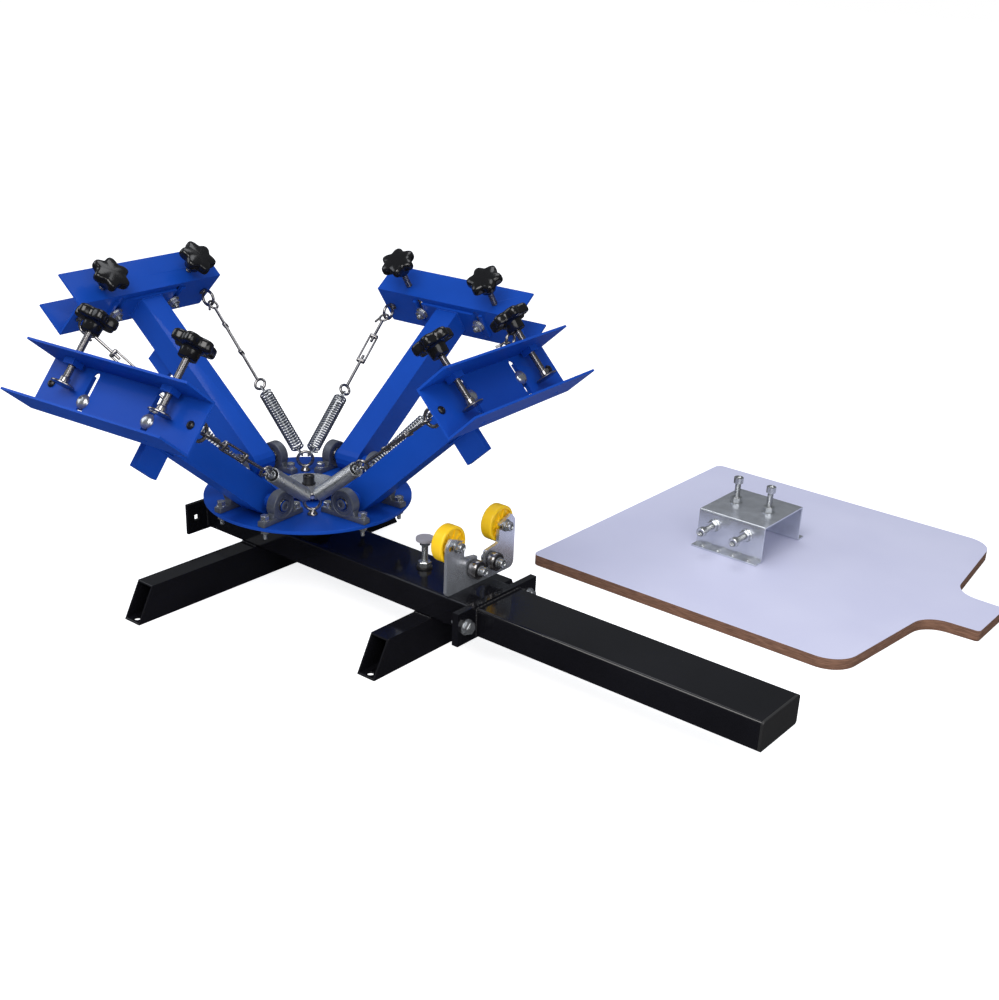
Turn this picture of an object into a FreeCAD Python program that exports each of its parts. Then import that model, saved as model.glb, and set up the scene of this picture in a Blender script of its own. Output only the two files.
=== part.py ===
import FreeCAD, Part
import math
import os

# Tabletop screen printing machine: a low beam on two feet, a turntable with
# four sprung swing arms, a frame clamp on each arm, a registration gate on
# the beam, and the loose print board lying upside down beside it.
# The origin is on the floor under the rear foot, on the beam's centre line;
# X runs along the beam to its free end, Y across it, Z up. All sizes in mm.

os.makedirs("parts", exist_ok=True)
doc = FreeCAD.newDocument("screen_press")
sheet = doc.addObject("Spreadsheet::Sheet", "Sizes")
V = {}
ROW = [1]


def size(name, value):
    """Write one named size into the sheet."""
    cell = "A%d" % ROW[0]
    sheet.set(cell, str(value))
    sheet.setAlias(cell, name)
    V[name] = float(value)
    ROW[0] += 1


# Beam and feet
size("beam_width", 92)
size("beam_height", 41)
size("beam_wall", 2.5)
size("rear_beam_length", 524)
size("front_beam_length", 425.5)
size("beam_overhang", 93)
size("cap_lip", 3.5)
size("cap_depth", 14)
size("foot_height", 52)
size("foot_width", 31)
size("foot_wall", 2.5)
size("rear_foot_span", 526)
size("front_foot_span", 315)
size("foot_pitch", 347)
size("foot_slant", 27)
size("foot_hole_radius", 4.5)
size("foot_hole_inset", 10)
size("flange_width", 166)
size("flange_height", 47.5)
size("flange_thick", 5)
size("flange_bolt_pitch", 132)
size("square_hole", 9)
# Turntable
size("axis_x", 81)
size("disc_radius", 150)
size("disc_thick", 5)
size("disc_lift", 47.7)
size("index_angle", 4.4)
size("post_radius", 30)
size("post_plate", 84)
size("post_plate_thick", 6)
size("post_height", 16)
size("spindle_radius", 12.5)
size("sleeve_radius", 36)
size("hub_cap_radius", 45)
size("hub_cap_thick", 7)
size("hub_spacer_radius", 30)
size("hub_spacer_height", 5.5)
size("run_gap", 0.3)
size("shaft_gap", 0.08)
# Pillow blocks
size("pivot_radius", 103.6)
size("pivot_height", 22)
size("block_offset", 40.7)
size("block_length", 80)
size("block_width", 15)
size("block_bolt_pitch", 63)
size("block_base_thick", 8)
size("block_ring_radius", 20.5)
size("insert_radius", 16)
size("shaft_radius", 7.5)
# Arms
size("arm_section", 40)
size("arm_wall", 2.5)
size("web_distance", 297.5)
size("bush_radius", 11)
size("head_plate_thick", 4)
size("head_plate_width", 136)
size("head_plate_height", 46)
size("tab_near", 194)
size("tab_length", 42)
size("tab_drop", 38)
size("tab_thick", 10)
# Frame clamps
size("clamp_width", 274)
size("clamp_wall", 3)
size("clamp_top", 33.6)
size("clamp_bottom", 39.5)
size("clamp_depth", 54)
size("slot_pitch", 112)
size("slot_width", 8.6)
size("slot_length", 56)
size("clamp_bolt_radius", 4)
size("screw_pitch", 168)
size("screw_reach", 19)
size("screw_radius", 5)
size("screw_length", 90)
size("pad_radius", 15)
size("weld_nut", 17)
size("knob_radius", 26)
size("knob_thick", 14)
size("knob_stem_radius", 12.5)
size("knob_stem", 14)
size("frame_hole_radius", 3)
# Spring chains
size("eye_pitch", 242)
size("eye_drop", 2)
size("eye_radius", 11.3)
size("eye_wire", 2.4)
size("eye_stem", 15)
size("ring_post_radius", 88)
size("ring_height", 19)
size("spring_radius", 10.5)
size("spring_wire", 2.4)
size("spring_length", 110)
size("loop_radius", 6.5)
size("loop_wire", 1.3)
size("rod_radius", 2.3)
size("rod_eye_radius", 6.2)
size("rod_eye_wire", 1.6)
size("buckle_length", 64)
size("buckle_bar", 2)
size("buckle_spread", 5.5)
size("link_gap", 0.7)
# Registration gate
size("gate_x", 389.5)
size("gate_thick", 5)
size("gate_half", 72)
size("gate_top", 82)
size("gate_shoulder", 72)
size("gate_valley", 42)
size("gate_ear", 35)
size("notch_half", 9)
size("notch_floor", 8)
size("guide_radius", 26)
size("guide_width", 18)
size("guide_spread", 51.5)
size("guide_height", 68)
size("bearing_radius", 13)
size("bearing_width", 12)
size("bearing_height", 27)
size("tab_play", 2.2)
size("gate_bolt_radius", 4)
size("stop_x", 304)
size("stop_height", 46)
size("stop_pad_radius", 13)
# Print board and its bracket
size("board_thick", 17)
size("board_x", 282)
size("board_y", 577)
size("board_length", 536)
size("board_half", 290)
size("neck_length", 108)
size("neck_half", 57)
size("bracket_length", 120)
size("bracket_width", 130)
size("bracket_height", 61)
size("bracket_wall", 3)
size("bracket_flange", 17)
size("bracket_x", 448)
doc.recompute()

# Sizes that follow from the ones above
BEAM_TOP = V["foot_height"] + V["beam_height"]
DISC_BOTTOM = BEAM_TOP + V["disc_lift"]
DISC_TOP = DISC_BOTTOM + V["disc_thick"]
PIVOT_Z = DISC_TOP + V["pivot_height"]
REAR_END = -V["beam_overhang"]
MID_FACE = REAR_END + V["rear_beam_length"]
FRONT_START = MID_FACE + 2 * V["flange_thick"]
FRONT_END = FRONT_START + V["front_beam_length"]
INDEX = math.radians(V["index_angle"])
BEARING_X = V["gate_x"] + 2 + V["bearing_width"] / 2
GATE_Y = math.tan(INDEX) * (BEARING_X - V["axis_x"])
# The four arms: name, turn about the turntable's axis, lift, knob height
ARMS = [("arm1", 0, 43, 72), ("arm2", 90, 36, 78), ("arm3", 180, 42.5, 58), ("arm4", -90, 40, 84)]
ZDIR = FreeCAD.Vector(0, 0, 1)


def vec(x, y, z):
    return FreeCAD.Vector(x, y, z)


def place(x, y, z, axis=ZDIR, angle=0):
    return FreeCAD.Placement(vec(x, y, z), FreeCAD.Rotation(axis, angle))


def bind(obj, prop, value):
    """Bind a property to the sheet when it is named there, else set it."""
    if isinstance(value, str):
        obj.setExpression(prop, "Sizes." + value)
        setattr(obj, prop, V[value])
    else:
        setattr(obj, prop, value)


def box(name, lx, ly, lz, where):
    obj = doc.addObject("Part::Box", name)
    bind(obj, "Length", lx)
    bind(obj, "Width", ly)
    bind(obj, "Height", lz)
    obj.Placement = where if isinstance(where, FreeCAD.Placement) else place(*where)
    return obj


def rod(name, radius, height, where):
    obj = doc.addObject("Part::Cylinder", name)
    bind(obj, "Radius", radius)
    bind(obj, "Height", height)
    obj.Placement = where if isinstance(where, FreeCAD.Placement) else place(*where)
    return obj


def number(value):
    return V[value] if isinstance(value, str) else value


def prism(name, sides, radius, height, where):
    """Bar with flat sides whose corners lie on the radius."""
    obj = doc.addObject("Part::Prism", name)
    obj.Polygon = sides
    bind(obj, "Circumradius", radius)
    bind(obj, "Height", height)
    obj.Placement = where if isinstance(where, FreeCAD.Placement) else place(*where)
    return obj


def bore(name, sides, radius, height, where):
    """Tool for a hole that clears a pin of this radius at every angle."""
    return prism(name, sides, number(radius) / math.cos(math.pi / sides), height, where)


def along(start, direction, across=None):
    """Placement whose Z axis runs from start along direction."""
    z = FreeCAD.Vector(direction)
    z.normalize()
    if across is None:
        return FreeCAD.Placement(start, FreeCAD.Rotation(ZDIR, z))
    x = across - z * across.dot(z)
    x.normalize()
    y = z.cross(x)
    return FreeCAD.Placement(start, FreeCAD.Rotation(x, y, z, "ZXY"))


def hexagon(name, flats, height, where):
    obj = doc.addObject("Part::Prism", name)
    obj.Polygon = 6
    obj.Circumradius = flats / math.sqrt(3)
    bind(obj, "Height", height)
    obj.Placement = where
    return obj


def cone(name, low, high, height, where):
    obj = doc.addObject("Part::Cone", name)
    obj.Radius1 = low
    obj.Radius2 = high
    bind(obj, "Height", height)
    obj.Placement = where
    return obj


def fuse(name, items):
    obj = doc.addObject("Part::MultiFuse", name)
    obj.Shapes = items
    obj.Refine = True
    return obj


def cut(name, base, tools):
    tool = tools[0] if len(tools) == 1 else fuse(name + "_tools", tools)
    obj = doc.addObject("Part::Cut", name)
    obj.Base = base
    obj.Tool = tool
    return obj


def together(name, items):
    """Several separate solids of one node."""
    obj = doc.addObject("Part::Compound", name)
    obj.Links = items
    return obj


def plane_of(body, role):
    for feature in body.Origin.OriginFeatures:
        if feature.Role == role:
            return feature
    return None


def sketch_on(body, name, role, geometry):
    sk = body.newObject("Sketcher::SketchObject", name)
    sk.AttachmentSupport = [(plane_of(body, role), "")]
    sk.MapMode = "FlatFace"
    sk.addGeometry(geometry, False)
    return sk


def loop_lines(points):
    last = len(points)
    lines = []
    for k in range(last):
        a = points[k]
        b = points[(k + 1) % last]
        lines.append(Part.LineSegment(vec(a[0], a[1], 0), vec(b[0], b[1], 0)))
    return lines


def rounded(points, radii):
    """Closed outline of lines and arcs, each corner with its own radius."""
    count = len(points)
    ends = []
    for k in range(count):
        p = vec(points[k][0], points[k][1], 0)
        a = vec(points[k - 1][0], points[k - 1][1], 0) - p
        b = vec(points[(k + 1) % count][0], points[(k + 1) % count][1], 0) - p
        a.normalize()
        b.normalize()
        r = radii[k]
        if r <= 0:
            ends.append((p, p, None))
            continue
        half = a.getAngle(b) / 2
        reach = r / math.tan(half)
        middle = a + b
        middle.normalize()
        centre = p + middle * (r / math.sin(half))
        ends.append((p + a * reach, p + b * reach, centre - middle * r))
    geometry = []
    for k in range(count):
        first, second, middle = ends[k]
        if middle is not None:
            geometry.append(Part.Arc(first, middle, second))
        following = ends[(k + 1) % count][0]
        if second.distanceToPoint(following) > 0.001:
            geometry.append(Part.LineSegment(second, following))
    return geometry


def padded(name, role, geometry, length, where, both=False):
    """A sketched profile padded by a named length."""
    body = doc.addObject("PartDesign::Body", name)
    sk = sketch_on(body, name + "_outline", role, geometry)
    pad = body.newObject("PartDesign::Pad", name + "_pad")
    pad.Profile = sk
    bind(pad, "Length", length)
    pad.Midplane = both
    body.Tip = pad
    sk.Visibility = False
    body.Placement = where
    return body


def revolved(name, points, where, radii=None):
    """A profile in the XZ plane turned about Z."""
    body = doc.addObject("PartDesign::Body", name)
    geometry = loop_lines(points) if radii is None else rounded(points, radii)
    sk = sketch_on(body, name + "_outline", "XZ_Plane", geometry)
    turn = body.newObject("PartDesign::Revolution", name + "_turn")
    turn.Profile = sk
    turn.ReferenceAxis = (sk, ["V_Axis"])
    turn.Angle = 360
    body.Tip = turn
    sk.Visibility = False
    body.Placement = where
    return body


def ring(name, sides, radius, wire, where):
    """Ring with flat sides, as thick as its wire, in the XY plane of where."""
    outer = prism(name + "_rim", sides, number(radius) + number(wire), 2 * number(wire),
                  where.multiply(place(0, 0, -number(wire))))
    inner = prism(name + "_eye", sides, number(radius) - number(wire), 4 * number(wire),
                  where.multiply(place(0, 0, -2 * number(wire))))
    return cut(name, outer, [inner])


NODES = []


def node(obj, label, where=None):
    """Name a finished piece; its label names its file."""
    obj.Label = label
    if where is not None:
        obj.Placement = where
    NODES.append(obj)
    return obj


# Rear beam: rectangular tube with a flange plate welded on each end
def beam(name, length, start, plates):
    half = V["beam_width"] / 2
    tall = V["beam_height"]
    w = V["beam_wall"]
    outer = rounded([(-half, 0), (half, 0), (half, tall), (-half, tall)], [4] * 4)
    inner = rounded([(w - half, w), (half - w, w), (half - w, tall - w), (w - half, tall - w)], [2] * 4)
    tube = padded(name + "_tube", "YZ_Plane", outer + inner, length, place(start, 0, V["foot_height"]))
    items = [tube]
    plate_low = V["foot_height"] + (V["beam_height"] - V["flange_height"]) / 2 + 1.5
    for k, x in enumerate(plates):
        plate = box("%s_plate%d" % (name, k), "flange_thick", "flange_width", "flange_height",
                    (x, -V["flange_width"] / 2, plate_low))
        holes = []
        for side in (-1, 1):
            holes.append(box("%s_hole%d%d" % (name, k, side + 1), 3 * V["flange_thick"], "square_hole",
                             "square_hole", (x - V["flange_thick"],
                                             side * V["flange_bolt_pitch"] / 2 - V["square_hole"] / 2,
                                             plate_low + V["flange_height"] / 2 - V["square_hole"] / 2)))
        items.append(cut("%s_drilled%d" % (name, k), plate, holes))
    return fuse(name + "_all", items)


FLANGE_MID = V["foot_height"] + V["beam_height"] / 2 + 1.5
node(beam("rear_beam", "rear_beam_length", REAR_END, [REAR_END - V["flange_thick"], MID_FACE]), "rear_beam")
node(beam("front_beam", "front_beam_length", FRONT_START, [FRONT_START - V["flange_thick"]]), "front_beam")

# Plastic cap pressed into the open end of the front beam
half_w = V["beam_width"] / 2
wall = V["beam_wall"]
lip = padded("cap_lip_body", "YZ_Plane", rounded(
    [(-half_w, 0), (half_w, 0), (half_w, V["beam_height"]), (-half_w, V["beam_height"])], [4] * 4),
    "cap_lip", place(FRONT_END, 0, V["foot_height"]))
fit = wall + 1.2
plug_outer = loop_lines([(fit - half_w, fit), (half_w - fit, fit), (half_w - fit, V["beam_height"] - fit),
                         (fit - half_w, V["beam_height"] - fit)])
rib = fit + 3
plug_inner = loop_lines([(rib - half_w, rib), (half_w - rib, rib), (half_w - rib, V["beam_height"] - rib),
                         (rib - half_w, V["beam_height"] - rib)])
plug = padded("cap_plug", "YZ_Plane", plug_outer + plug_inner, "cap_depth",
              place(FRONT_END - V["cap_depth"], 0, V["foot_height"]))
node(fuse("end_cap_all", [lip, plug]), "end_cap")

# Two flange bolts with nuts hold the beam halves together
joint_items = []
for side in (-1, 1):
    yb = side * V["flange_bolt_pitch"] / 2
    face = FRONT_START
    back = MID_FACE
    shank = prism("joint_shank%d" % (side + 1), 8, 4, face - back + 20, along(vec(back - 13, yb, FLANGE_MID), vec(1, 0, 0)))
    head = hexagon("joint_head%d" % (side + 1), 13, 6, along(vec(face + 2, yb, FLANGE_MID), vec(1, 0, 0)))
    collar = prism("joint_collar%d" % (side + 1), 16, 9, 2, along(vec(face, yb, FLANGE_MID), vec(1, 0, 0)))
    nut = hexagon("joint_nut%d" % (side + 1), 13, 7, along(vec(back - 7, yb, FLANGE_MID), vec(1, 0, 0)))
    joint_items.append(fuse("joint_bolt%d" % (side + 1), [shank, head, collar, nut]))
node(together("joint_bolts_all", joint_items), "joint_bolts")


# Feet: rectangular tubes across the beam, ends cut on the slant, one hole at
# each end of the lower wall
def foot(name, span_name, x):
    span = V[span_name]
    half = span / 2
    slant = V["foot_slant"]
    tall = V["foot_height"]
    side = [(-half, 0), (half, 0), (half - slant, tall), (slant - half, tall)]
    body = padded(name + "_block", "YZ_Plane", loop_lines(side), "foot_width", place(x - V["foot_width"] / 2, 0, 0))
    hollow = box(name + "_hollow", V["foot_width"] - 2 * V["foot_wall"], span + 20,
                 tall - 2 * V["foot_wall"],
                 (x - V["foot_width"] / 2 + V["foot_wall"], -half - 10, V["foot_wall"]))
    tools = [hollow]
    for end in (-1, 1):
        tools.append(rod("%s_hole%d" % (name, end + 1), "foot_hole_radius", 3 * V["foot_wall"],
                         (x, end * (half - V["foot_hole_inset"]), -V["foot_wall"])))
    return cut(name + "_all", body, tools)


node(foot("rear_foot", "rear_foot_span", 0), "rear_foot")
node(foot("front_foot", "front_foot_span", V["foot_pitch"]), "front_foot")

# Turntable post: plate on the beam, round post and the spindle above it
AX = V["axis_x"]
plate = box("post_plate_body", "post_plate", "post_plate", "post_plate_thick",
            (AX - V["post_plate"] / 2, -V["post_plate"] / 2, BEAM_TOP))
post = prism("post_body", 36, "post_radius", "post_height", (AX, 0, BEAM_TOP + V["post_plate_thick"]))
POST_TOP = BEAM_TOP + V["post_plate_thick"] + V["post_height"]
spindle = prism("spindle_body", 36, "spindle_radius", DISC_TOP - POST_TOP - 1, (AX, 0, POST_TOP))
post_bolts = []
for k in range(4):
    angle = math.radians(45 + 90 * k)
    reach = V["post_plate"] * 0.7 - 14
    post_bolts.append(hexagon("post_bolt%d" % k, 13, 5.5, place(AX + reach * math.cos(angle),
                                                               reach * math.sin(angle),
                                                               BEAM_TOP + V["post_plate_thick"])))
node(fuse("post_all", [plate, post, spindle] + post_bolts), "turntable_post")

# Turntable sleeve: turns on the spindle and carries the disc
sleeve_low = POST_TOP + V["run_gap"]
sleeve_tall = DISC_BOTTOM - sleeve_low
barrel = prism("sleeve_barrel", 36, "post_radius", sleeve_tall, (AX, 0, sleeve_low))
collar = prism("sleeve_collar", 36, "sleeve_radius", sleeve_tall * 0.35, (AX, 0, DISC_BOTTOM - sleeve_tall * 0.35))
sleeve_bore = bore("sleeve_bore", 36, V["spindle_radius"] + V["shaft_gap"], 2 * sleeve_tall,
                   (AX, 0, sleeve_low - sleeve_tall / 2))
sleeve = cut("sleeve_turned", fuse("sleeve_stock", [barrel, collar]), [sleeve_bore])
node(sleeve, "turntable_sleeve")

# Turntable disc with its bore and the holes of the four ring bolts
plain = rod("disc_blank", "disc_radius", "disc_thick", (0, 0, 0))
disc_tools = [bore("disc_bore", 36, V["spindle_radius"] + V["shaft_gap"], 3 * V["disc_thick"],
                   (0, 0, -V["disc_thick"]))]
for k in range(4):
    angle = math.radians(45 + 90 * k)
    disc_tools.append(bore("disc_hole%d" % k, 8, 4.1, 3 * V["disc_thick"],
                           (V["ring_post_radius"] * math.cos(angle), V["ring_post_radius"] * math.sin(angle),
                            -V["disc_thick"])))
disc_body = cut("disc_all", plain, disc_tools)
TURN = place(AX, 0, 0, ZDIR, V["index_angle"])
node(disc_body, "turntable_disc", TURN.multiply(place(0, 0, DISC_BOTTOM)))

# Hub cap plate on its spacer and the tall socket screw in its middle
spacer = prism("hub_spacer", 36, "hub_spacer_radius", "hub_spacer_height", (AX, 0, DISC_TOP))
lid = prism("hub_lid", 48, "hub_cap_radius", "hub_cap_thick", (AX, 0, DISC_TOP + V["hub_spacer_height"]))
cap = fuse("hub_cap_body", [spacer, lid])
HUB_TOP = DISC_TOP + V["hub_spacer_height"] + V["hub_cap_thick"]
screw_head = prism("centre_head", 24, 8.5, 13, (AX, 0, HUB_TOP))
screw_hex = hexagon("centre_socket", 9, 9, place(AX, 0, HUB_TOP + 6))
node(together("hub_cap_all", [cap, cut("centre_screw", screw_head, [screw_hex])]), "hub_cap")


# Pillow blocks: cast base with two feet, round housing over the shaft
def pillow(name):
    half = V["block_length"] / 2
    tall = V["pivot_height"]
    base = V["block_base_thick"]
    shoulder = V["block_ring_radius"]
    profile = [(-half, 0), (half, 0), (half, base), (half - 18, base), (shoulder, tall - 4),
               (shoulder * 0.6, tall), (-shoulder * 0.6, tall), (-shoulder, tall - 4),
               (18 - half, base), (-half, base)]
    body = padded(name + "_base", "XZ_Plane", loop_lines(profile), "block_width", place(0, 0, 0), True)
    housing = prism(name + "_housing", 20, "block_ring_radius", "block_width",
                    along(vec(0, -V["block_width"] / 2, tall), vec(0, 1, 0)))
    whole = fuse(name + "_solid", [body, housing])
    seat = prism(name + "_seat", 16, "insert_radius", V["block_width"] + 4,
                 along(vec(0, -V["block_width"] / 2 - 2, tall), vec(0, 1, 0)))
    return cut(name + "_cast", whole, [seat])


def insert(name):
    """Bearing insert with its inner ring standing out on both sides."""
    wide = V["block_width"] - 3
    shell = prism(name + "_shell", 16, "insert_radius", wide, (0, 0, -wide / 2))
    long = V["block_width"] + 6
    sleeve = prism(name + "_sleeve", 16, V["shaft_radius"] + 3.2, long, (0, 0, -long / 2))
    hole = bore(name + "_hole", 16, V["shaft_radius"] + V["shaft_gap"], long + 4, (0, 0, -long / 2 - 2))
    return cut(name, fuse(name + "_stock", [shell, sleeve]), [hole])


blocks = []
inserts = []
for tag, turn, lift, knob in ARMS:
    root = TURN.multiply(place(0, 0, 0, ZDIR, turn))
    for side in (-1, 1):
        name = "%s_block%d" % (tag, side + 1)
        piece = pillow(name)
        piece.Placement = root.multiply(place(V["pivot_radius"], side * V["block_offset"], DISC_TOP))
        blocks.append(piece)
        core = insert(name + "_insert")
        core.Placement = root.multiply(along(vec(V["pivot_radius"], side * V["block_offset"], PIVOT_Z),
                                             vec(0, 1, 0)))
        inserts.append(core)
node(together("blocks_all", blocks), "pillow_blocks")
node(together("inserts_all", inserts), "bearing_inserts")

# Ring bolts on the disc between the arms
ring_items = []
for k in range(4):
    a = 45 + 90 * k
    root = TURN.multiply(place(0, 0, 0, ZDIR, a)).multiply(place(V["ring_post_radius"], 0, 0))
    eye = ring("disc_ring%d" % k, 12, "eye_radius", "eye_wire",
               root.multiply(place(0, 0, DISC_TOP + V["ring_height"], vec(0, 1, 0), 90)))
    collar = prism("disc_ring_collar%d" % k, 8, 6.5, V["ring_height"] - V["eye_radius"] + 0.5,
                   root.multiply(place(0, 0, DISC_TOP)))
    stem = prism("disc_ring_stem%d" % k, 8, 4, V["disc_thick"] + 12, root.multiply(place(0, 0, DISC_BOTTOM - 10)))
    nut = hexagon("disc_ring_nut%d" % k, 13, 6.5, root.multiply(place(0, 0, DISC_BOTTOM - 6.5)))
    ring_items.append(fuse("disc_ring_bolt%d" % k, [eye, collar, stem, nut]))
node(together("disc_rings_all", ring_items), "disc_ring_bolts")


# Star knob: six lobes, a stem below, and a blind hole for its screw
def star(name):
    lobes = 6
    points = []
    for k in range(lobes):
        for share, reach in ((-0.19, 0.95), (0.0, 1.0), (0.19, 0.95), (0.5, 0.8)):
            a = 2 * math.pi * (k + share) / lobes
            r = V["knob_radius"] * reach
            points.append((r * math.cos(a), r * math.sin(a)))
    top = padded(name + "_star", "XY_Plane", loop_lines(points), "knob_thick", place(0, 0, 0))
    stem = prism(name + "_stem", 12, "knob_stem_radius", V["knob_stem"] + 1, (0, 0, -V["knob_stem"]))
    whole = fuse(name + "_whole", [top, stem])
    return cut(name + "_knob", whole, [prism(name + "_bore", 8, "screw_radius", V["knob_stem"] + 4,
                                             (0, 0, -V["knob_stem"] - 1))])


CLAMP_FACE = V["web_distance"]
SCREW_X = CLAMP_FACE + V["screw_reach"]
HEAD_Z = -4


def arm_tube(name):
    half = V["arm_section"] / 2
    w = V["arm_wall"]
    end = CLAMP_FACE - V["head_plate_thick"]
    outer = fuse(name + "_outer", [
        box(name + "_bar", end, "arm_section", "arm_section", (0, -half, -half)),
        prism(name + "_nose", 16, half, "arm_section", along(vec(0, -half, 0), vec(0, 1, 0)))])
    inner = fuse(name + "_inner", [
        box(name + "_void", end + 5, V["arm_section"] - 2 * w, V["arm_section"] - 2 * w, (0, w - half, w - half)),
        prism(name + "_round", 16, half - w, V["arm_section"] - 2 * w, along(vec(0, w - half, 0), vec(0, 1, 0)))])
    tube = cut(name + "_tube", outer, [inner])
    reach = V["block_offset"] - V["block_width"] / 2 - 3 - V["run_gap"]
    bush = prism(name + "_bush", 16, "bush_radius", 2 * reach, along(vec(0, -reach, 0), vec(0, 1, 0)))
    ends = V["block_offset"] + V["block_width"] / 2 + 1.5
    shaft = prism(name + "_shaft", 16, "shaft_radius", 2 * ends, along(vec(0, -ends, 0), vec(0, 1, 0)))
    plate = box(name + "_head_plate", "head_plate_thick", "head_plate_width", "head_plate_height",
                (end, -V["head_plate_width"] / 2, -V["head_plate_height"] / 2))
    tab = box(name + "_tab", "tab_length", "tab_thick", "tab_drop",
              (V["tab_near"], -V["tab_thick"] / 2, -half - V["tab_drop"]))
    foot_strip = box(name + "_tab_foot", V["tab_length"] + 8, V["tab_thick"] + 8, 2.5,
                     (V["tab_near"] - 4, -V["tab_thick"] / 2 - 4, -half - 2.5))
    return fuse(name + "_welded", [tube, bush, shaft, plate, tab, foot_strip])


def clamp_channel(name):
    w = V["clamp_wall"]
    low = -V["clamp_bottom"]
    high = V["clamp_top"]
    deep = V["clamp_depth"]
    section = [(0, low), (deep, low), (deep, low + w), (w, low + w), (w, high - w), (deep, high - w),
               (deep, high), (0, high)]
    body = padded(name + "_section", "XZ_Plane", loop_lines(section),
                  "clamp_width", place(CLAMP_FACE, 0, 0), True)
    tools = []
    r = V["slot_width"] / 2
    for side in (-1, 1):
        y = side * V["slot_pitch"] / 2
        straight = V["slot_length"] - V["slot_width"]
        tools.append(box("%s_slot%d" % (name, side + 1), 3 * w, "slot_width", straight,
                         (CLAMP_FACE - w, y - r, HEAD_Z - straight / 2)))
        for end in (-1, 1):
            tools.append(prism("%s_slot_end%d%d" % (name, side + 1, end + 1), 12, r, 3 * w,
                             along(vec(CLAMP_FACE - w, y, HEAD_Z + end * straight / 2), vec(1, 0, 0))))
        ys = side * V["screw_pitch"] / 2
        tools.append(prism("%s_screw_hole%d" % (name, side + 1), 8, V["screw_radius"] + V["shaft_gap"], 4 * w,
                         (SCREW_X, ys, high - 2 * w)))
        tools.append(prism("%s_frame_hole%d" % (name, side + 1), 8, "frame_hole_radius", 4 * w,
                         (SCREW_X, ys, low - w)))
        tools.append(prism("%s_eye_hole%d" % (name, side + 1), 8, 3.3, 4 * w,
                         along(vec(CLAMP_FACE - w, side * V["eye_pitch"] / 2, -V["eye_drop"]), vec(1, 0, 0))))
    shell = cut(name + "_folded", body, tools)
    nuts = []
    for side in (-1, 1):
        blank = box("%s_nut%d" % (name, side + 1), "weld_nut", "weld_nut", 8,
                    (SCREW_X - V["weld_nut"] / 2, side * V["screw_pitch"] / 2 - V["weld_nut"] / 2, high - w - 8))
        nuts.append(cut("%s_nut_cut%d" % (name, side + 1), blank, [
            prism("%s_nut_bore%d" % (name, side + 1), 8, V["screw_radius"] + V["shaft_gap"], 12,
                (SCREW_X, side * V["screw_pitch"] / 2, high - w - 10))]))
    return fuse(name + "_channel", [shell] + nuts)


def eye_bolts(name):
    items = []
    front = CLAMP_FACE + V["clamp_wall"]
    for side in (-1, 1):
        y = side * V["eye_pitch"] / 2
        z = -V["eye_drop"]
        head = prism("%s_button%d" % (name, side + 1), 12, 5.5, 3, along(vec(front, y, z), vec(1, 0, 0)))
        stem = prism("%s_stem%d" % (name, side + 1), 8, 3, front - CLAMP_FACE + 5,
                     along(vec(CLAMP_FACE - 4, y, z), vec(1, 0, 0)))
        collar = prism("%s_collar%d" % (name, side + 1), 8, 5.5, V["eye_stem"] - V["eye_radius"] + 0.8,
                       along(vec(CLAMP_FACE, y, z), vec(-1, 0, 0)))
        eye = ring("%s_ring%d" % (name, side + 1), 12, "eye_radius", "eye_wire",
                   FreeCAD.Placement(vec(CLAMP_FACE - V["eye_stem"], y, z), FreeCAD.Rotation(vec(1, 0, 0), 90)))
        items.append(fuse("%s_bolt%d" % (name, side + 1), [head, stem, collar, eye]))
    return items


def clamp_screws(name, knob_z):
    knobs = []
    screws = []
    for side in (-1, 1):
        y = side * V["screw_pitch"] / 2
        low = knob_z - V["knob_stem"] - V["screw_length"] + 20
        knob = star("%s_%d" % (name, side + 1))
        knob.Placement = place(SCREW_X, y, knob_z, ZDIR, 45 * side)
        knobs.append(knob)
        thread = prism("%s_thread%d" % (name, side + 1), 8, V["screw_radius"] - V["shaft_gap"], knob_z + 2.5 - low,
                       (SCREW_X, y, low))
        pad = prism("%s_pad%d" % (name, side + 1), 24, "pad_radius", 3, (SCREW_X, y, low - 4))
        neck = prism("%s_neck%d" % (name, side + 1), 12, 7, 8, (SCREW_X, y, low - 1))
        screws.append(fuse("%s_screw%d" % (name, side + 1), [thread, pad, neck]))
    return together(name + "_knobs_all", knobs), together(name + "_screws_all", screws)


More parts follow.
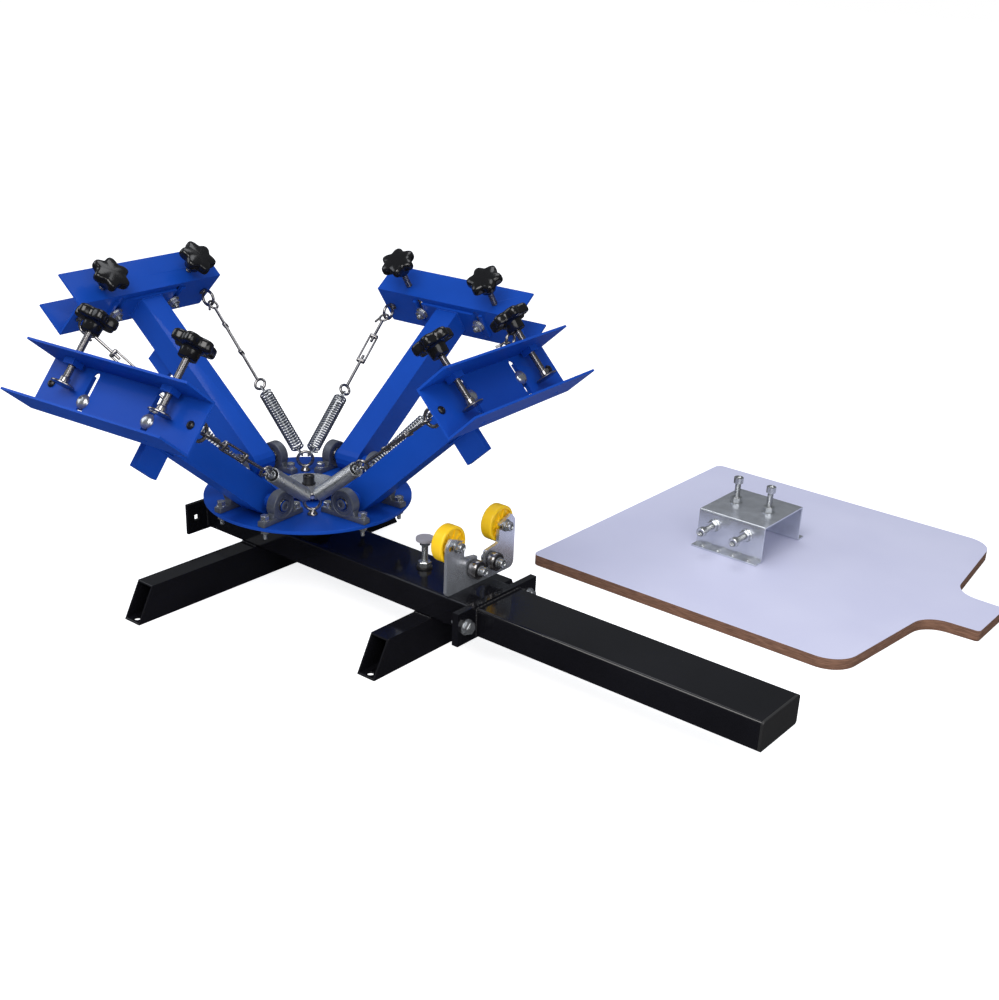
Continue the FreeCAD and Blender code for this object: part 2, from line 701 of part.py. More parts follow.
# Spring chain: disc ring, spring, eye rod, turnbuckle, hook rod, clamp ring
def chain(name, frame, root, side):
    low_centre = root.multVec(vec(V["ring_post_radius"] * math.cos(math.radians(45)),
                                  side * V["ring_post_radius"] * math.sin(math.radians(45)),
                                  DISC_TOP + V["ring_height"]))
    high_centre = frame.multVec(vec(CLAMP_FACE - V["eye_stem"], side * V["eye_pitch"] / 2, -V["eye_drop"]))
    aim = high_centre - low_centre
    aim.normalize()
    low_normal = root.Rotation.multVec(vec(math.cos(math.radians(45)), side * math.sin(math.radians(45)), 0))
    reach = aim - low_normal * aim.dot(low_normal)
    reach.normalize()
    start = low_centre + reach * V["eye_radius"]
    low_tangent = low_normal.cross(reach)
    high_normal = frame.Rotation.multVec(vec(0, 1, 0))
    back = high_normal * aim.dot(high_normal) - aim
    back.normalize()
    finish = high_centre + back * V["eye_radius"]
    high_tangent = high_normal.cross(back)
    run = finish - start
    total = run.Length
    run.normalize()
    # flat-sided rings need this much more room where they cross
    corner = math.tan(math.pi / 8)
    grip = V["eye_wire"] + V["link_gap"] + 0.3 + V["eye_wire"] * corner

    def at(d):
        return start + run * d

    # spring with a loop at each end
    loop_at = V["loop_radius"] - grip - V["loop_wire"]
    body_low = loop_at + V["loop_radius"]
    coil_outer = prism(name + "_coil", 12, "spring_radius", "spring_length", along(at(body_low), run))
    coil_inner = prism(name + "_core", 12, V["spring_radius"] - V["spring_wire"],
                       V["spring_length"] - 2 * V["spring_wire"], along(at(body_low + V["spring_wire"]), run))
    coil = cut(name + "_tube", coil_outer, [coil_inner])
    flat_low = low_tangent - run * low_tangent.dot(run)
    loop_low = ring(name + "_loop0", 8, "loop_radius", "loop_wire", along(at(loop_at), flat_low, run))
    high_loop_at = body_low + V["spring_length"] + V["loop_radius"]
    side_dir = flat_low.cross(run)
    loop_high = ring(name + "_loop1", 8, "loop_radius", "loop_wire", along(at(high_loop_at), flat_low, run))
    spring = fuse(name + "_spring", [coil, loop_low, loop_high])
    # turnbuckle: eye rod, open body, hook rod with its closed end
    inner_grip = (V["loop_wire"] + V["rod_eye_wire"]) * (1 + corner) + V["link_gap"] - 0.3
    eye_at = high_loop_at + V["loop_radius"] - inner_grip + V["rod_eye_radius"]
    rod_eye = ring(name + "_rod_eye", 8, "rod_eye_radius", "rod_eye_wire", along(at(eye_at), side_dir, run))
    hook_at = total - V["rod_eye_radius"] + V["rod_eye_wire"] + grip
    hook_normal = high_tangent - run * high_tangent.dot(run)
    hook = ring(name + "_hook", 8, "rod_eye_radius", "rod_eye_wire", along(at(hook_at), hook_normal, run))
    lower_end = eye_at + V["rod_eye_radius"]
    upper_end = hook_at - V["rod_eye_radius"]
    middle = (lower_end + upper_end) / 2 + 10
    body_start = middle - V["buckle_length"] / 2
    body_end = middle + V["buckle_length"] / 2
    eye_rod = prism(name + "_eye_rod", 6, "rod_radius", body_start + 16 - lower_end, along(at(lower_end), run))
    hook_rod = prism(name + "_hook_rod", 6, "rod_radius", upper_end - body_end + 16, along(at(body_end - 16), run))
    parts = [rod_eye, eye_rod, hook, hook_rod]
    for step in (-1, 1):
        offset = side_dir * (step * V["buckle_spread"])
        offset_start = at(body_start + 3) + offset
        parts.append(prism("%s_bar%d" % (name, step + 1), 4, "buckle_bar", V["buckle_length"] - 6,
                         along(offset_start, run)))
    for k, d in enumerate((body_start, body_end - 8)):
        parts.append(box("%s_boss%d" % (name, k), 2 * V["buckle_spread"] + 4, 8, 8,
                         along(at(d), run, side_dir).multiply(place(-V["buckle_spread"] - 2, -4, 0))))
    buckle = fuse(name + "_buckle", parts)
    return [spring, buckle]


for tag, turn, lift, knob in ARMS:
    root = TURN.multiply(place(0, 0, 0, ZDIR, turn))
    frame = root.multiply(place(V["pivot_radius"], 0, PIVOT_Z)).multiply(place(0, 0, 0, vec(0, 1, 0), -lift))
    node(arm_tube(tag), tag, frame)
    node(clamp_channel(tag + "_clamp"), tag + "_clamp", frame)
    node(together(tag + "_eyes_all", eye_bolts(tag + "_eye")), tag + "_eye_bolts", frame)
    knobs, screws = clamp_screws(tag + "_clamp_screw", knob)
    node(knobs, tag + "_knobs", frame)
    node(screws, tag + "_clamp_screws", frame)
    links = []
    for side in (-1, 1):
        links += chain("%s_chain%d" % (tag, side + 1), frame, root, side)
    node(together(tag + "_springs_all", links), tag + "_springs")

# Registration gate: plate across the beam with two ears and a middle notch
H = V["gate_half"]
E = V["gate_ear"]
N = V["notch_half"]
outline = [(-H, 0), (H, 0), (H, V["gate_shoulder"]), (H - 8, V["gate_top"]), (H - E, V["gate_shoulder"]),
           (H - E, V["gate_valley"] + 4), (N, V["gate_valley"]), (N, V["notch_floor"]),
           (-N, V["notch_floor"]), (-N, V["gate_valley"]), (E - H, V["gate_valley"] + 4),
           (E - H, V["gate_shoulder"]), (8 - H, V["gate_top"]), (-H, V["gate_shoulder"])]
gate = padded("gate_sheet", "YZ_Plane", rounded(outline, [6, 10, 5, 3, 5, 5, 3, 3, 3, 3, 5, 5, 3, 5]),
              "gate_thick", place(V["gate_x"] - V["gate_thick"], GATE_Y, BEAM_TOP))
BEARING_SPREAD = V["bearing_radius"] + (V["tab_thick"] + V["tab_play"]) / 2
gate_tools = []
for side in (-1, 1):
    yb = GATE_Y + side * BEARING_SPREAD
    zb = BEAM_TOP + V["bearing_height"]
    gate_tools.append(prism("gate_bearing_hole%d" % (side + 1), 12, "gate_bolt_radius", 3 * V["gate_thick"],
                          along(vec(V["gate_x"] - 2 * V["gate_thick"], yb, zb), vec(1, 0, 0))))
    yr = GATE_Y + side * V["guide_spread"]
    zr = BEAM_TOP + V["guide_height"]
    slot_low = yr - 4 * side
    gate_tools.append(box("gate_slot%d" % (side + 1), 3 * V["gate_thick"], 16, 2 * V["gate_bolt_radius"],
                          (V["gate_x"] - 2 * V["gate_thick"], yr - 8 - 4 * side, zr - V["gate_bolt_radius"])))
    for end in (-1, 1):
        gate_tools.append(prism("gate_slot_end%d%d" % (side + 1, end + 1), 12, "gate_bolt_radius", 3 * V["gate_thick"],
                              along(vec(V["gate_x"] - 2 * V["gate_thick"], yr - 4 * side + 8 * end, zr),
                                    vec(1, 0, 0))))
node(cut("gate_all", gate, gate_tools), "gate_plate")

# Gate bolts: two through the guide rollers, two through the bearings
gate_items = []
for side in (-1, 1):
    for kind in ("guide", "bearing"):
        if kind == "guide":
            yb = GATE_Y + side * V["guide_spread"]
            zb = BEAM_TOP + V["guide_height"]
            front = V["gate_x"]
            back = V["gate_x"] - V["gate_thick"] - V["guide_width"] - 2 - 2 * V["run_gap"]
            shaft = 3.9
        else:
            yb = GATE_Y + side * BEARING_SPREAD
            zb = BEAM_TOP + V["bearing_height"]
            front = V["gate_x"] + V["bearing_width"] + 2 + 2 * V["run_gap"]
            back = V["gate_x"] - V["gate_thick"]
            shaft = 3.9
        tag = "gate_%s%d" % (kind, side + 1)
        stem = prism(tag + "_stem", 12, shaft, front - back + 12, along(vec(back - 9, yb, zb), vec(1, 0, 0)))
        head = prism(tag + "_head", 16, 6.5, 8, along(vec(front + 1.5, yb, zb), vec(1, 0, 0)))
        washer = prism(tag + "_washer", 16, 8.5 if kind == "guide" else 7, 1.5, along(vec(front, yb, zb), vec(1, 0, 0)))
        nut = hexagon(tag + "_nut", 13, 6.5, along(vec(back - 6.5, yb, zb), vec(1, 0, 0)))
        inner = V["gate_x"] - V["gate_thick"] - 2 if kind == "guide" else V["gate_x"]
        spacer = prism(tag + "_spacer", 12, 6.5, 2, along(vec(inner, yb, zb), vec(1, 0, 0)))
        whole = fuse(tag + "_whole", [stem, head, washer, nut, spacer])
        socket = hexagon(tag + "_socket", 6, 6, along(vec(front + 5.5, yb, zb), vec(1, 0, 0)))
        gate_items.append(cut(tag + "_bolt", whole, [socket]))
node(together("gate_bolts_all", gate_items), "gate_bolts")

# Guide rollers: rim, web with holes and hub; ball bearings as stepped rings
for side, label in ((-1, "near"), (1, "far")):
    w = V["guide_width"]
    r = V["guide_radius"]
    deep = w * 0.28
    blank = prism("guide_rim_" + label, 40, r, w, (0, 0, 0))
    hub = 9
    sinks = []
    for k, low in enumerate((-1, w - deep)):
        pan = prism("guide_pan_%s%d" % (label, k), 40, r - 5, deep + 1, (0, 0, low))
        core = prism("guide_hub_%s%d" % (label, k), 12, hub, deep + 3, (0, 0, low - 1))
        sinks.append(cut("guide_sink_%s%d" % (label, k), pan, [core]))
    sinks.append(bore("guide_bore_" + label, 12, V["gate_bolt_radius"], w + 2, (0, 0, -1)))
    wheel = cut("guide_wheel_" + label, blank, sinks)
    gaps = []
    for k in range(6):
        a = math.radians(60 * k + 15)
        gaps.append(prism("guide_gap_%s%d" % (label, k), 8, 3.6, w, (14.6 * math.cos(a), 14.6 * math.sin(a), 0)))
    whole = cut("guide_cut_" + label, wheel, gaps)
    x = V["gate_x"] - V["gate_thick"] - 2 - V["run_gap"]
    node(whole, "guide_roller_" + label, along(vec(x, GATE_Y + side * V["guide_spread"], BEAM_TOP + V["guide_height"]),
                                              vec(-1, 0, 0)))
for side, label in ((-1, "near"), (1, "far")):
    w = V["bearing_width"]
    r = V["bearing_radius"]
    race = prism("ball_race_" + label, 32, r, w, (0, 0, 0))
    sinks = []
    for k, low in enumerate((-1, w - 0.8)):
        pan = prism("ball_pan_%s%d" % (label, k), 24, r - 2.2, 1.8, (0, 0, low))
        core = prism("ball_core_%s%d" % (label, k), 12, 6.5, 3.8, (0, 0, low - 1))
        sinks.append(cut("ball_sink_%s%d" % (label, k), pan, [core]))
    sinks.append(bore("ball_bore_" + label, 12, V["gate_bolt_radius"], w + 2, (0, 0, -1)))
    ball = cut("ball_ring_" + label, race, sinks)
    node(ball, "gate_bearing_" + label, along(vec(V["gate_x"] + 2 + V["run_gap"], GATE_Y + side * BEARING_SPREAD,
                                                BEAM_TOP + V["bearing_height"]), vec(1, 0, 0)))

# Stop screw on the beam under the lowered arm
sx = V["stop_x"]
sy = 5
stop_pad = prism("stop_pad_body", 32, "stop_pad_radius", 5, (sx, sy, BEAM_TOP + V["stop_height"] - 5))
stop_head = hexagon("stop_head", 14, 6, place(sx, sy, BEAM_TOP + V["stop_height"] - 11))
stop_stem = prism("stop_stem", 8, 4, V["stop_height"] - 7, (sx, sy, BEAM_TOP))
stop_nut = hexagon("stop_nut", 13, 7, place(sx, sy, BEAM_TOP + 1.8))
stop_washer = prism("stop_washer", 16, 9, 1.8, (sx, sy, BEAM_TOP))
node(fuse("stop_all", [stop_head, stop_stem, stop_nut, stop_washer]), "stop_screw")
node(stop_pad, "stop_pad")

# Print board, upside down on the floor, and the bracket that grips the beam
L = V["board_length"]
B = V["board_half"]
T = V["neck_length"]
K = V["neck_half"]
board_line = [(0, -B), (L, -B), (L + 26, -K), (L + T, -K + 4), (L + T, K - 4), (L + 26, K), (L, B), (0, B)]
board = padded("board_sheet", "XY_Plane", rounded(board_line, [12, 45, 42, 6, 6, 42, 45, 12]),
               "board_thick", place(V["board_x"], V["board_y"], 0))
node(board, "print_board")
b_half = V["bracket_width"] / 2
b_wall = V["bracket_wall"]
b_out = b_half + V["bracket_flange"]
b_high = V["bracket_height"]
fold = [(-b_out, 0), (-b_half + b_wall, 0), (-b_half + b_wall, b_high - b_wall), (b_half - b_wall, b_high - b_wall),
        (b_half - b_wall, 0), (b_out, 0), (b_out, b_wall), (b_half, b_wall), (b_half, b_high), (-b_half, b_high),
        (-b_half, b_wall), (-b_out, b_wall)]
bracket = padded("bracket_fold", "YZ_Plane", rounded(fold, [0, 0, 0, 0, 0, 0, 0, 0, 2.5, 2.5, 0, 0]),
                 "bracket_length", place(V["bracket_x"], V["board_y"], V["board_thick"]))
bolt_items = []
bracket_holes = []
for k, (dx, dy) in enumerate(((0.5, -0.28), (0.5, 0.28))):
    x = V["bracket_x"] + V["bracket_length"] * dx
    y = V["board_y"] + V["bracket_width"] * dy
    top = V["board_thick"] + b_high
    bracket_holes.append(bore("lock_hole%d" % k, 8, 4.1, 3 * b_wall, (x, y, top - 2 * b_wall)))
    stem = prism("lock_stem%d" % k, 8, 4, 38, (x, y, top - 14))
    head = prism("lock_head%d" % k, 16, 6.5, 8, (x, y, top + 20))
    nut = hexagon("lock_nut%d" % k, 13, 7, place(x, y, top))
    bolt_items.append(fuse("lock_bolt%d" % k, [stem, head, nut]))
for k, dx in enumerate((0.22, 0.62)):
    x = V["bracket_x"] + V["bracket_length"] * dx
    y = V["board_y"] - b_half
    z = V["board_thick"] + b_high * 0.5
    out = along(vec(x, y, z), vec(0, -1, 0))
    bracket_holes.append(bore("side_hole%d" % k, 8, 4.1, 3 * b_wall, along(vec(x, y + 2 * b_wall, z), vec(0, -1, 0))))
    stem = prism("side_stem%d" % k, 8, 4, 30, along(vec(x, y + b_wall + 6, z), vec(0, -1, 0)))
    washer = prism("side_washer%d" % k, 16, 9, 1.8, out)
    nut = hexagon("side_nut%d" % k, 13, 7, along(vec(x, y - 1.8, z), vec(0, -1, 0)))
    bolt_items.append(fuse("side_bolt%d" % k, [stem, washer, nut]))
node(cut("bracket_all", bracket, bracket_holes), "board_bracket")
node(together("bracket_bolts_all", bolt_items), "bracket_bolts")

doc.recompute()
for obj in doc.Objects:
    if "Invalid" in obj.State or "Error" in obj.State:
        raise RuntimeError("failed object %s %s" % (obj.Name, obj.State))
for obj in NODES:
    shape = obj.Shape
    if shape.isNull() or not shape.isValid():
        raise RuntimeError("bad shape %s" % obj.Label)
for obj in NODES:
    obj.Shape.exportStep("parts/%s.step" % obj.Label)
    print("%-22s solids %d volume %.0f" % (obj.Label, len(obj.Shape.Solids), obj.Shape.Volume))
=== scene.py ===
import math

import bpy
from mathutils import Matrix, Vector


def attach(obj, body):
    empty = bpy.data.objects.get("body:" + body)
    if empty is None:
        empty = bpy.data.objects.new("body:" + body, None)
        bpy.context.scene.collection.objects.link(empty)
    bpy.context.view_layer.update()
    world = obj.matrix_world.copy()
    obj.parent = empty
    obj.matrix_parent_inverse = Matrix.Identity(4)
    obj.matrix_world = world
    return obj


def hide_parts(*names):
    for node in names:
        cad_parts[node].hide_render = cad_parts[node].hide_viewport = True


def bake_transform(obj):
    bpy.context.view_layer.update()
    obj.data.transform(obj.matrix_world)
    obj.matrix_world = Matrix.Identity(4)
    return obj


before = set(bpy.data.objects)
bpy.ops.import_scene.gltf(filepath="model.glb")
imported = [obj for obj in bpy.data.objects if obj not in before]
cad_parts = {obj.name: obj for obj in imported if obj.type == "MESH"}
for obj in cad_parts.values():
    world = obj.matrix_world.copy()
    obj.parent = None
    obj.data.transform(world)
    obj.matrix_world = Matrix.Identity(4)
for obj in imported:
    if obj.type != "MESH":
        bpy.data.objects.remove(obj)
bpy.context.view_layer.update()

# The camera stands in front of the beam's free end, on the near side, a little
# above the clamps, and looks down across the machine as the photograph does.
# Its slight turn about its own line of sight is in the photograph too.
heading = math.radians(125.4)
dip = math.radians(-24.1)
turn = math.radians(3.6)
looking = Vector((math.cos(dip) * math.cos(heading), math.cos(dip) * math.sin(heading),
                  math.sin(dip)))
level_right = looking.cross(Vector((0, 0, 1))).normalized()
level_up = level_right.cross(looking)
camera_right = math.cos(turn) * level_right + math.sin(turn) * level_up
camera_up = math.cos(turn) * level_up - math.sin(turn) * level_right
camera_data = bpy.data.cameras.new("camera")
camera_data.sensor_fit = "HORIZONTAL"
camera_data.sensor_width = 36.0
camera_data.lens = 49.2
camera_data.shift_x = -0.053
camera_data.shift_y = 0.062
camera_data.clip_start = 0.05
camera = bpy.data.objects.new("camera", camera_data)
bpy.context.scene.collection.objects.link(camera)
axes = Matrix((camera_right, camera_up, -looking)).transposed()
camera.matrix_world = Matrix.Translation((1.4528, -1.3046, 0.8888)) @ axes.to_4x4()
bpy.context.scene.camera = camera

# Studio: a pale floor that runs on into the white surroundings, one large soft
# lamp over the near side, one in front, a weak one from the left and one behind.
# The camera sees the floor white with soft shadows; gloss sees a dimmer room.
def add_node(tree, kind, values=()):
    """A shader node with a value set at each input that is named."""
    node = tree.nodes.new("ShaderNode" + kind)
    for socket, value in dict(values).items():
        node.inputs[socket].default_value = value
    return node


def wire_up(tree, links):
    """Each link runs from one node's output to another node's input."""
    for source, output, target, socket in links:
        tree.links.new(source.outputs[output], target.inputs[socket])


def deselect_all():
    bpy.ops.object.select_all(action="DESELECT")


world = bpy.data.worlds.new("studio")
bpy.context.scene.world = world
world.use_nodes = True
sky = world.node_tree
sky.nodes.clear()
sky_out = add_node(sky, "OutputWorld")
sky_ray = add_node(sky, "LightPath")
sky_soft = add_node(sky, "Background", {"Color": (0.86, 0.91, 1.0, 1), "Strength": 0.40})
sky_shine = add_node(sky, "Background", {"Color": (0.9, 0.95, 1.0, 1), "Strength": 0.15})
sky_white = add_node(sky, "Background", {"Color": (1, 1, 1, 1), "Strength": 1.0})
sky_gloss = add_node(sky, "MixShader")
sky_mix = add_node(sky, "MixShader")
wire_up(sky, (
    (sky_ray, "Is Glossy Ray", sky_gloss, "Fac"), (sky_soft, "Background", sky_gloss, 1),
    (sky_shine, "Background", sky_gloss, 2), (sky_ray, "Is Camera Ray", sky_mix, "Fac"),
    (sky_gloss, "Shader", sky_mix, 1), (sky_white, "Background", sky_mix, 2),
    (sky_mix, "Shader", sky_out, "Surface")))

deselect_all()
bpy.ops.mesh.primitive_plane_add(size=60, location=(0.4, 0, -0.0005))
floor = bpy.context.object
floor.name = "studio_floor"
floor_paint = bpy.data.materials.new("studio_floor_white")
floor_paint.use_nodes = True
ground = floor_paint.node_tree
ground.nodes.clear()
floor_out = add_node(ground, "OutputMaterial")
floor_ray = add_node(ground, "LightPath")
floor_pale = add_node(ground, "BsdfDiffuse", {"Color": (0.72, 0.72, 0.73, 1)})
floor_dark = add_node(ground, "BsdfDiffuse", {"Color": (0.035, 0.035, 0.04, 1)})
floor_glow = add_node(ground, "Emission", {"Color": (1, 1, 1, 1), "Strength": 0.80})
floor_add = add_node(ground, "AddShader")
floor_gloss = add_node(ground, "MixShader")
floor_mix = add_node(ground, "MixShader")
wire_up(ground, (
    (floor_pale, "BSDF", floor_add, 0), (floor_glow, "Emission", floor_add, 1),
    (floor_ray, "Is Glossy Ray", floor_gloss, "Fac"), (floor_pale, "BSDF", floor_gloss, 1),
    (floor_dark, "BSDF", floor_gloss, 2), (floor_ray, "Is Camera Ray", floor_mix, "Fac"),
    (floor_gloss, "Shader", floor_mix, 1), (floor_add, "Shader", floor_mix, 2),
    (floor_mix, "Shader", floor_out, "Surface")))
floor.data.materials.append(floor_paint)

for lamp_name, spot, aim, width, power, tint in (
        ("key_lamp", (0.9, -1.7, 2.3), (0.2, 0.0, 0.15), 1.6, 48, (1.0, 0.98, 0.96)),
        ("front_lamp", (2.3, -0.9, 1.0), (0.2, 0.0, 0.2), 1.5, 16, (1.0, 0.99, 0.98)),
        ("left_lamp", (-1.7, -0.9, 1.5), (0.1, 0.0, 0.2), 1.4, 12, (0.92, 0.95, 1.0)),
        ("back_lamp", (-0.2, 0.9, 2.8), (0.3, 0.2, 0.1), 1.5, 18, (0.95, 0.97, 1.0))):
    lamp_data = bpy.data.lights.new(lamp_name, "AREA")
    lamp_data.shape = "SQUARE"
    lamp_data.size = width
    lamp_data.energy = power
    lamp_data.color = tint
    lamp = bpy.data.objects.new(lamp_name, lamp_data)
    bpy.context.scene.collection.objects.link(lamp)
    lamp.location = spot
    lamp.rotation_euler = (Vector(aim) - Vector(spot)).to_track_quat("-Z", "Y").to_euler()
bpy.context.scene.view_settings.view_transform = "Standard"

# Powder coat on every painted steel piece: a blue with a fine orange-peel
# skin and soft gloss on the arms, clamps and disc, and a deep gloss black on
# the beam, the feet and the turntable post. It is sprayed on and baked.
def new_finish(name):
    """A material, its nodes, its shader and the piece's own coordinates."""
    finish = bpy.data.materials.new(name)
    finish.use_nodes = True
    tree = finish.node_tree
    return finish, tree, tree.nodes["Principled BSDF"], add_node(tree, "TexCoord")


def two_tone(tree, dark, light, dark_at=0.3, light_at=0.75):
    """A colour that runs from the dark tone to the light one."""
    ramp = add_node(tree, "ValToRGB")
    for stop, tone, at in zip(ramp.color_ramp.elements, (dark, light), (dark_at, light_at)):
        stop.position = at
        stop.color = tuple(tone) + (1,)
    return ramp


def powder_coat(name, shade, gloss, peel, dust, shine):
    paint, tree, skin, place = new_finish(name)
    skin.inputs["Specular IOR Level"].default_value = shine
    skin.inputs["Coat Weight"].default_value = 0.06
    skin.inputs["Coat Roughness"].default_value = 0.08
    cloud = add_node(tree, "TexNoise", {"Scale": 9, "Detail": 4})
    colour = two_tone(tree, [c * (1 - dust) for c in shade], [c * (1 + dust) for c in shade])
    rough = add_node(tree, "MapRange", {"To Min": gloss, "To Max": gloss + 0.09})
    grain = add_node(tree, "TexNoise", {"Scale": 900, "Detail": 2})
    bump = add_node(tree, "Bump", {"Strength": peel, "Distance": 0.00025})
    wire_up(tree, (
        (place, "Object", cloud, "Vector"), (place, "Object", grain, "Vector"),
        (cloud, "Fac", colour, "Fac"), (cloud, "Fac", rough, "Value"),
        (colour, "Color", skin, "Base Color"), (rough, "Result", skin, "Roughness"),
        (grain, "Fac", bump, "Height"), (bump, "Normal", skin, "Normal")))
    return paint


def weld_points(piece):
    """A CAD node's loose triangles are joined where their corners meet."""
    join = piece.modifiers.new("join", "WELD")
    join.merge_threshold = 0.00002


def soften_edges(piece, width, sharp=40, rings=2):
    """A small bevel on each edge that turns by more than the sharp angle."""
    edge = piece.modifiers.new("edge", "BEVEL")
    edge.width = width
    edge.segments = rings
    edge.limit_method = "ANGLE"
    edge.angle_limit = math.radians(sharp)


def dress(node_name, finish, edge=0.0004):
    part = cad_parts[node_name]
    part.data.materials.clear()
    part.data.materials.append(finish)
    weld_points(part)
    soften_edges(part, edge)


hub = Vector((0.081, 0, 0))
disc_top = 0.1457
disc_index = math.radians(4.4)
disc_place = (Matrix.Translation(hub + Vector((0, 0, disc_top)))
              @ Matrix.Rotation(disc_index, 4, "Z"))
pivot_out = 0.1036
pivot_high = 0.022
arm_pose = {"arm1": (0, 43), "arm2": (90, 36), "arm3": (180, 42.5), "arm4": (-90, 40)}
arm_place = {}
for arm, (quarter, lift) in arm_pose.items():
    arm_place[arm] = (disc_place @ Matrix.Rotation(math.radians(quarter), 4, "Z")
                      @ Matrix.Translation((pivot_out, 0, pivot_high))
                      @ Matrix.Rotation(math.radians(-lift), 4, "Y"))
blue_coat = powder_coat("blue_powder_coat", (0.007, 0.062, 0.39), 0.33, 0.2, 0.08, 0.08)
black_coat = powder_coat("black_powder_coat", (0.0065, 0.0065, 0.0085), 0.07, 0.1, 0.25, 0.4)
for name in ("rear_beam", "front_beam", "rear_foot", "front_foot", "turntable_post"):
    dress(name, black_coat, 0.0006)
for name in ("turntable_disc", "turntable_sleeve"):
    dress(name, blue_coat)
for arm in arm_place:
    dress(arm, blue_coat, 0.0006)
    dress(arm + "_clamp", blue_coat)


# Metal finishes: zinc plate with its faint cloudy lustre on the gate, bracket
# and hub cap, nickelled or plated steel on bolts, screws and rings, dark ground
# steel in the sealed bearings, and sand-blasted grey castings round them.
def plated(name, shade, low, high, streak, metal=1.0):
    plate, tree, skin, place = new_finish(name)
    skin.inputs["Metallic"].default_value = metal
    cloud = add_node(tree, "TexNoise", {"Scale": streak, "Detail": 5})
    colour = two_tone(tree, [c * 0.82 for c in shade], shade, light_at=0.7)
    rough = add_node(tree, "MapRange", {"To Min": low, "To Max": high})
    wire_up(tree, (
        (place, "Object", cloud, "Vector"), (cloud, "Fac", colour, "Fac"),
        (cloud, "Fac", rough, "Value"), (colour, "Color", skin, "Base Color"),
        (rough, "Result", skin, "Roughness")))
    return plate


zinc = plated("zinc_plate", (0.74, 0.77, 0.83), 0.16, 0.30, 60, 0.78)
bright_steel = plated("bright_steel", (0.33, 0.32, 0.32), 0.16, 0.26, 120, 0.92)
dark_steel = plated("bearing_steel", (0.30, 0.29, 0.29), 0.15, 0.3, 80)
casting = plated("grey_casting", (0.16, 0.175, 0.21), 0.38, 0.5, 200, 0.6)
zinc_bolt = plated("zinc_bolt", (0.58, 0.60, 0.62), 0.18, 0.3, 150, 0.85)
dress("gate_plate", zinc)


# Moulded plastic: gloss black star knobs and the beam's end cap, and yellow
# nylon guide rollers; the stop pad is grey rubber. All are moulded pieces
# with a faint texture from the tool.
def moulded(name, shade, gloss, fine):
    plastic, tree, skin, place = new_finish(name)
    skin.inputs["Base Color"].default_value = tuple(shade) + (1,)
    grain = add_node(tree, "TexNoise", {"Scale": fine})
    rough = add_node(tree, "MapRange", {"To Min": gloss, "To Max": gloss + 0.12})
    wire_up(tree, (
        (place, "Object", grain, "Vector"), (grain, "Fac", rough, "Value"),
        (rough, "Result", skin, "Roughness")))
    return plastic


knob_black = moulded("knob_plastic", (0.006, 0.006, 0.007), 0.12, 300)
screw_black = moulded("black_oxide", (0.008, 0.008, 0.009), 0.25, 600)
seal_black = moulded("seal_rubber", (0.012, 0.012, 0.013), 0.35, 500)
cap_black = moulded("cap_plastic", (0.02, 0.02, 0.02), 0.4, 500)
roller_yellow = moulded("roller_nylon", (1.0, 0.62, 0.008), 0.32, 400)
pad_grey = moulded("pad_rubber", (0.34, 0.33, 0.37), 0.6, 700)
dress("end_cap", cap_black)


# Print board: a sheet of wood fibre board faced with pale laminate on both
# sides, its rounded edge left bare and brown, lying upside down on the floor.
# The edge shows fine layers and a rougher face.
laminate, board_nodes, board_skin, board_at = new_finish("board_laminate_and_edge")
facing = add_node(board_nodes, "SeparateXYZ")
upright = add_node(board_nodes, "Math")
upright.operation = "ABSOLUTE"
on_face = add_node(board_nodes, "MapRange", {"From Min": 0.86, "From Max": 0.93})
fibre_way = add_node(board_nodes, "Mapping", {"Scale": (60, 60, 900)})
fibre = add_node(board_nodes, "TexNoise", {"Scale": 1.0, "Detail": 6})
brown = two_tone(board_nodes, (0.120, 0.055, 0.032), (0.300, 0.155, 0.095))
haze = add_node(board_nodes, "TexNoise", {"Scale": 7})
pale = two_tone(board_nodes, (0.66, 0.67, 0.87), (0.71, 0.72, 0.91), light_at=0.8)
both = add_node(board_nodes, "Mix")
both.data_type = "RGBA"
board_rough = add_node(board_nodes, "MapRange", {"To Min": 0.75, "To Max": 0.32})
fibre_bump = add_node(board_nodes, "Bump", {"Strength": 0.25, "Distance": 0.0004})
wire_up(board_nodes, (
    (board_at, "Normal", facing, "Vector"), (facing, "Z", upright, 0),
    (upright, "Value", on_face, "Value"), (board_at, "Object", fibre_way, "Vector"),
    (fibre_way, "Vector", fibre, "Vector"), (fibre, "Fac", brown, "Fac"),
    (board_at, "Object", haze, "Vector"), (haze, "Fac", pale, "Fac"),
    (on_face, "Result", both, "Factor"), (brown, "Color", both, "A"),
    (pale, "Color", both, "B"), (both, "Result", board_skin, "Base Color"),
    (on_face, "Result", board_rough, "Value"), (board_rough, "Result", board_skin, "Roughness"),
    (fibre, "Fac", fibre_bump, "Height"), (fibre_bump, "Normal", board_skin, "Normal")))
dress("print_board", laminate, 0.003)

# Carriage bolts: two through the slots of every frame clamp and the head plate
# of its arm, domed head in the clamp's mouth, washer and hexagon nut behind.
# Cold-headed steel, zinc plated, with a rolled thread.
def named(piece, name):
    piece.name = name
    piece.data.name = name
    return piece


def start_piece(name, finish):
    piece = named(bpy.context.object, name)
    piece.data.materials.clear()
    piece.data.materials.append(finish)
    return piece


def set_in(piece, place):
    """Move a piece's mesh to its place and leave its object at the origin."""
    piece.data.transform(place @ piece.matrix_world)
    piece.matrix_world = Matrix.Identity(4)
    return piece


def apply_all(piece):
    deselect_all()
    piece.select_set(True)
    bpy.context.view_layer.objects.active = piece
    for change in list(piece.modifiers):
        bpy.ops.object.modifier_apply(modifier=change.name)
    return piece


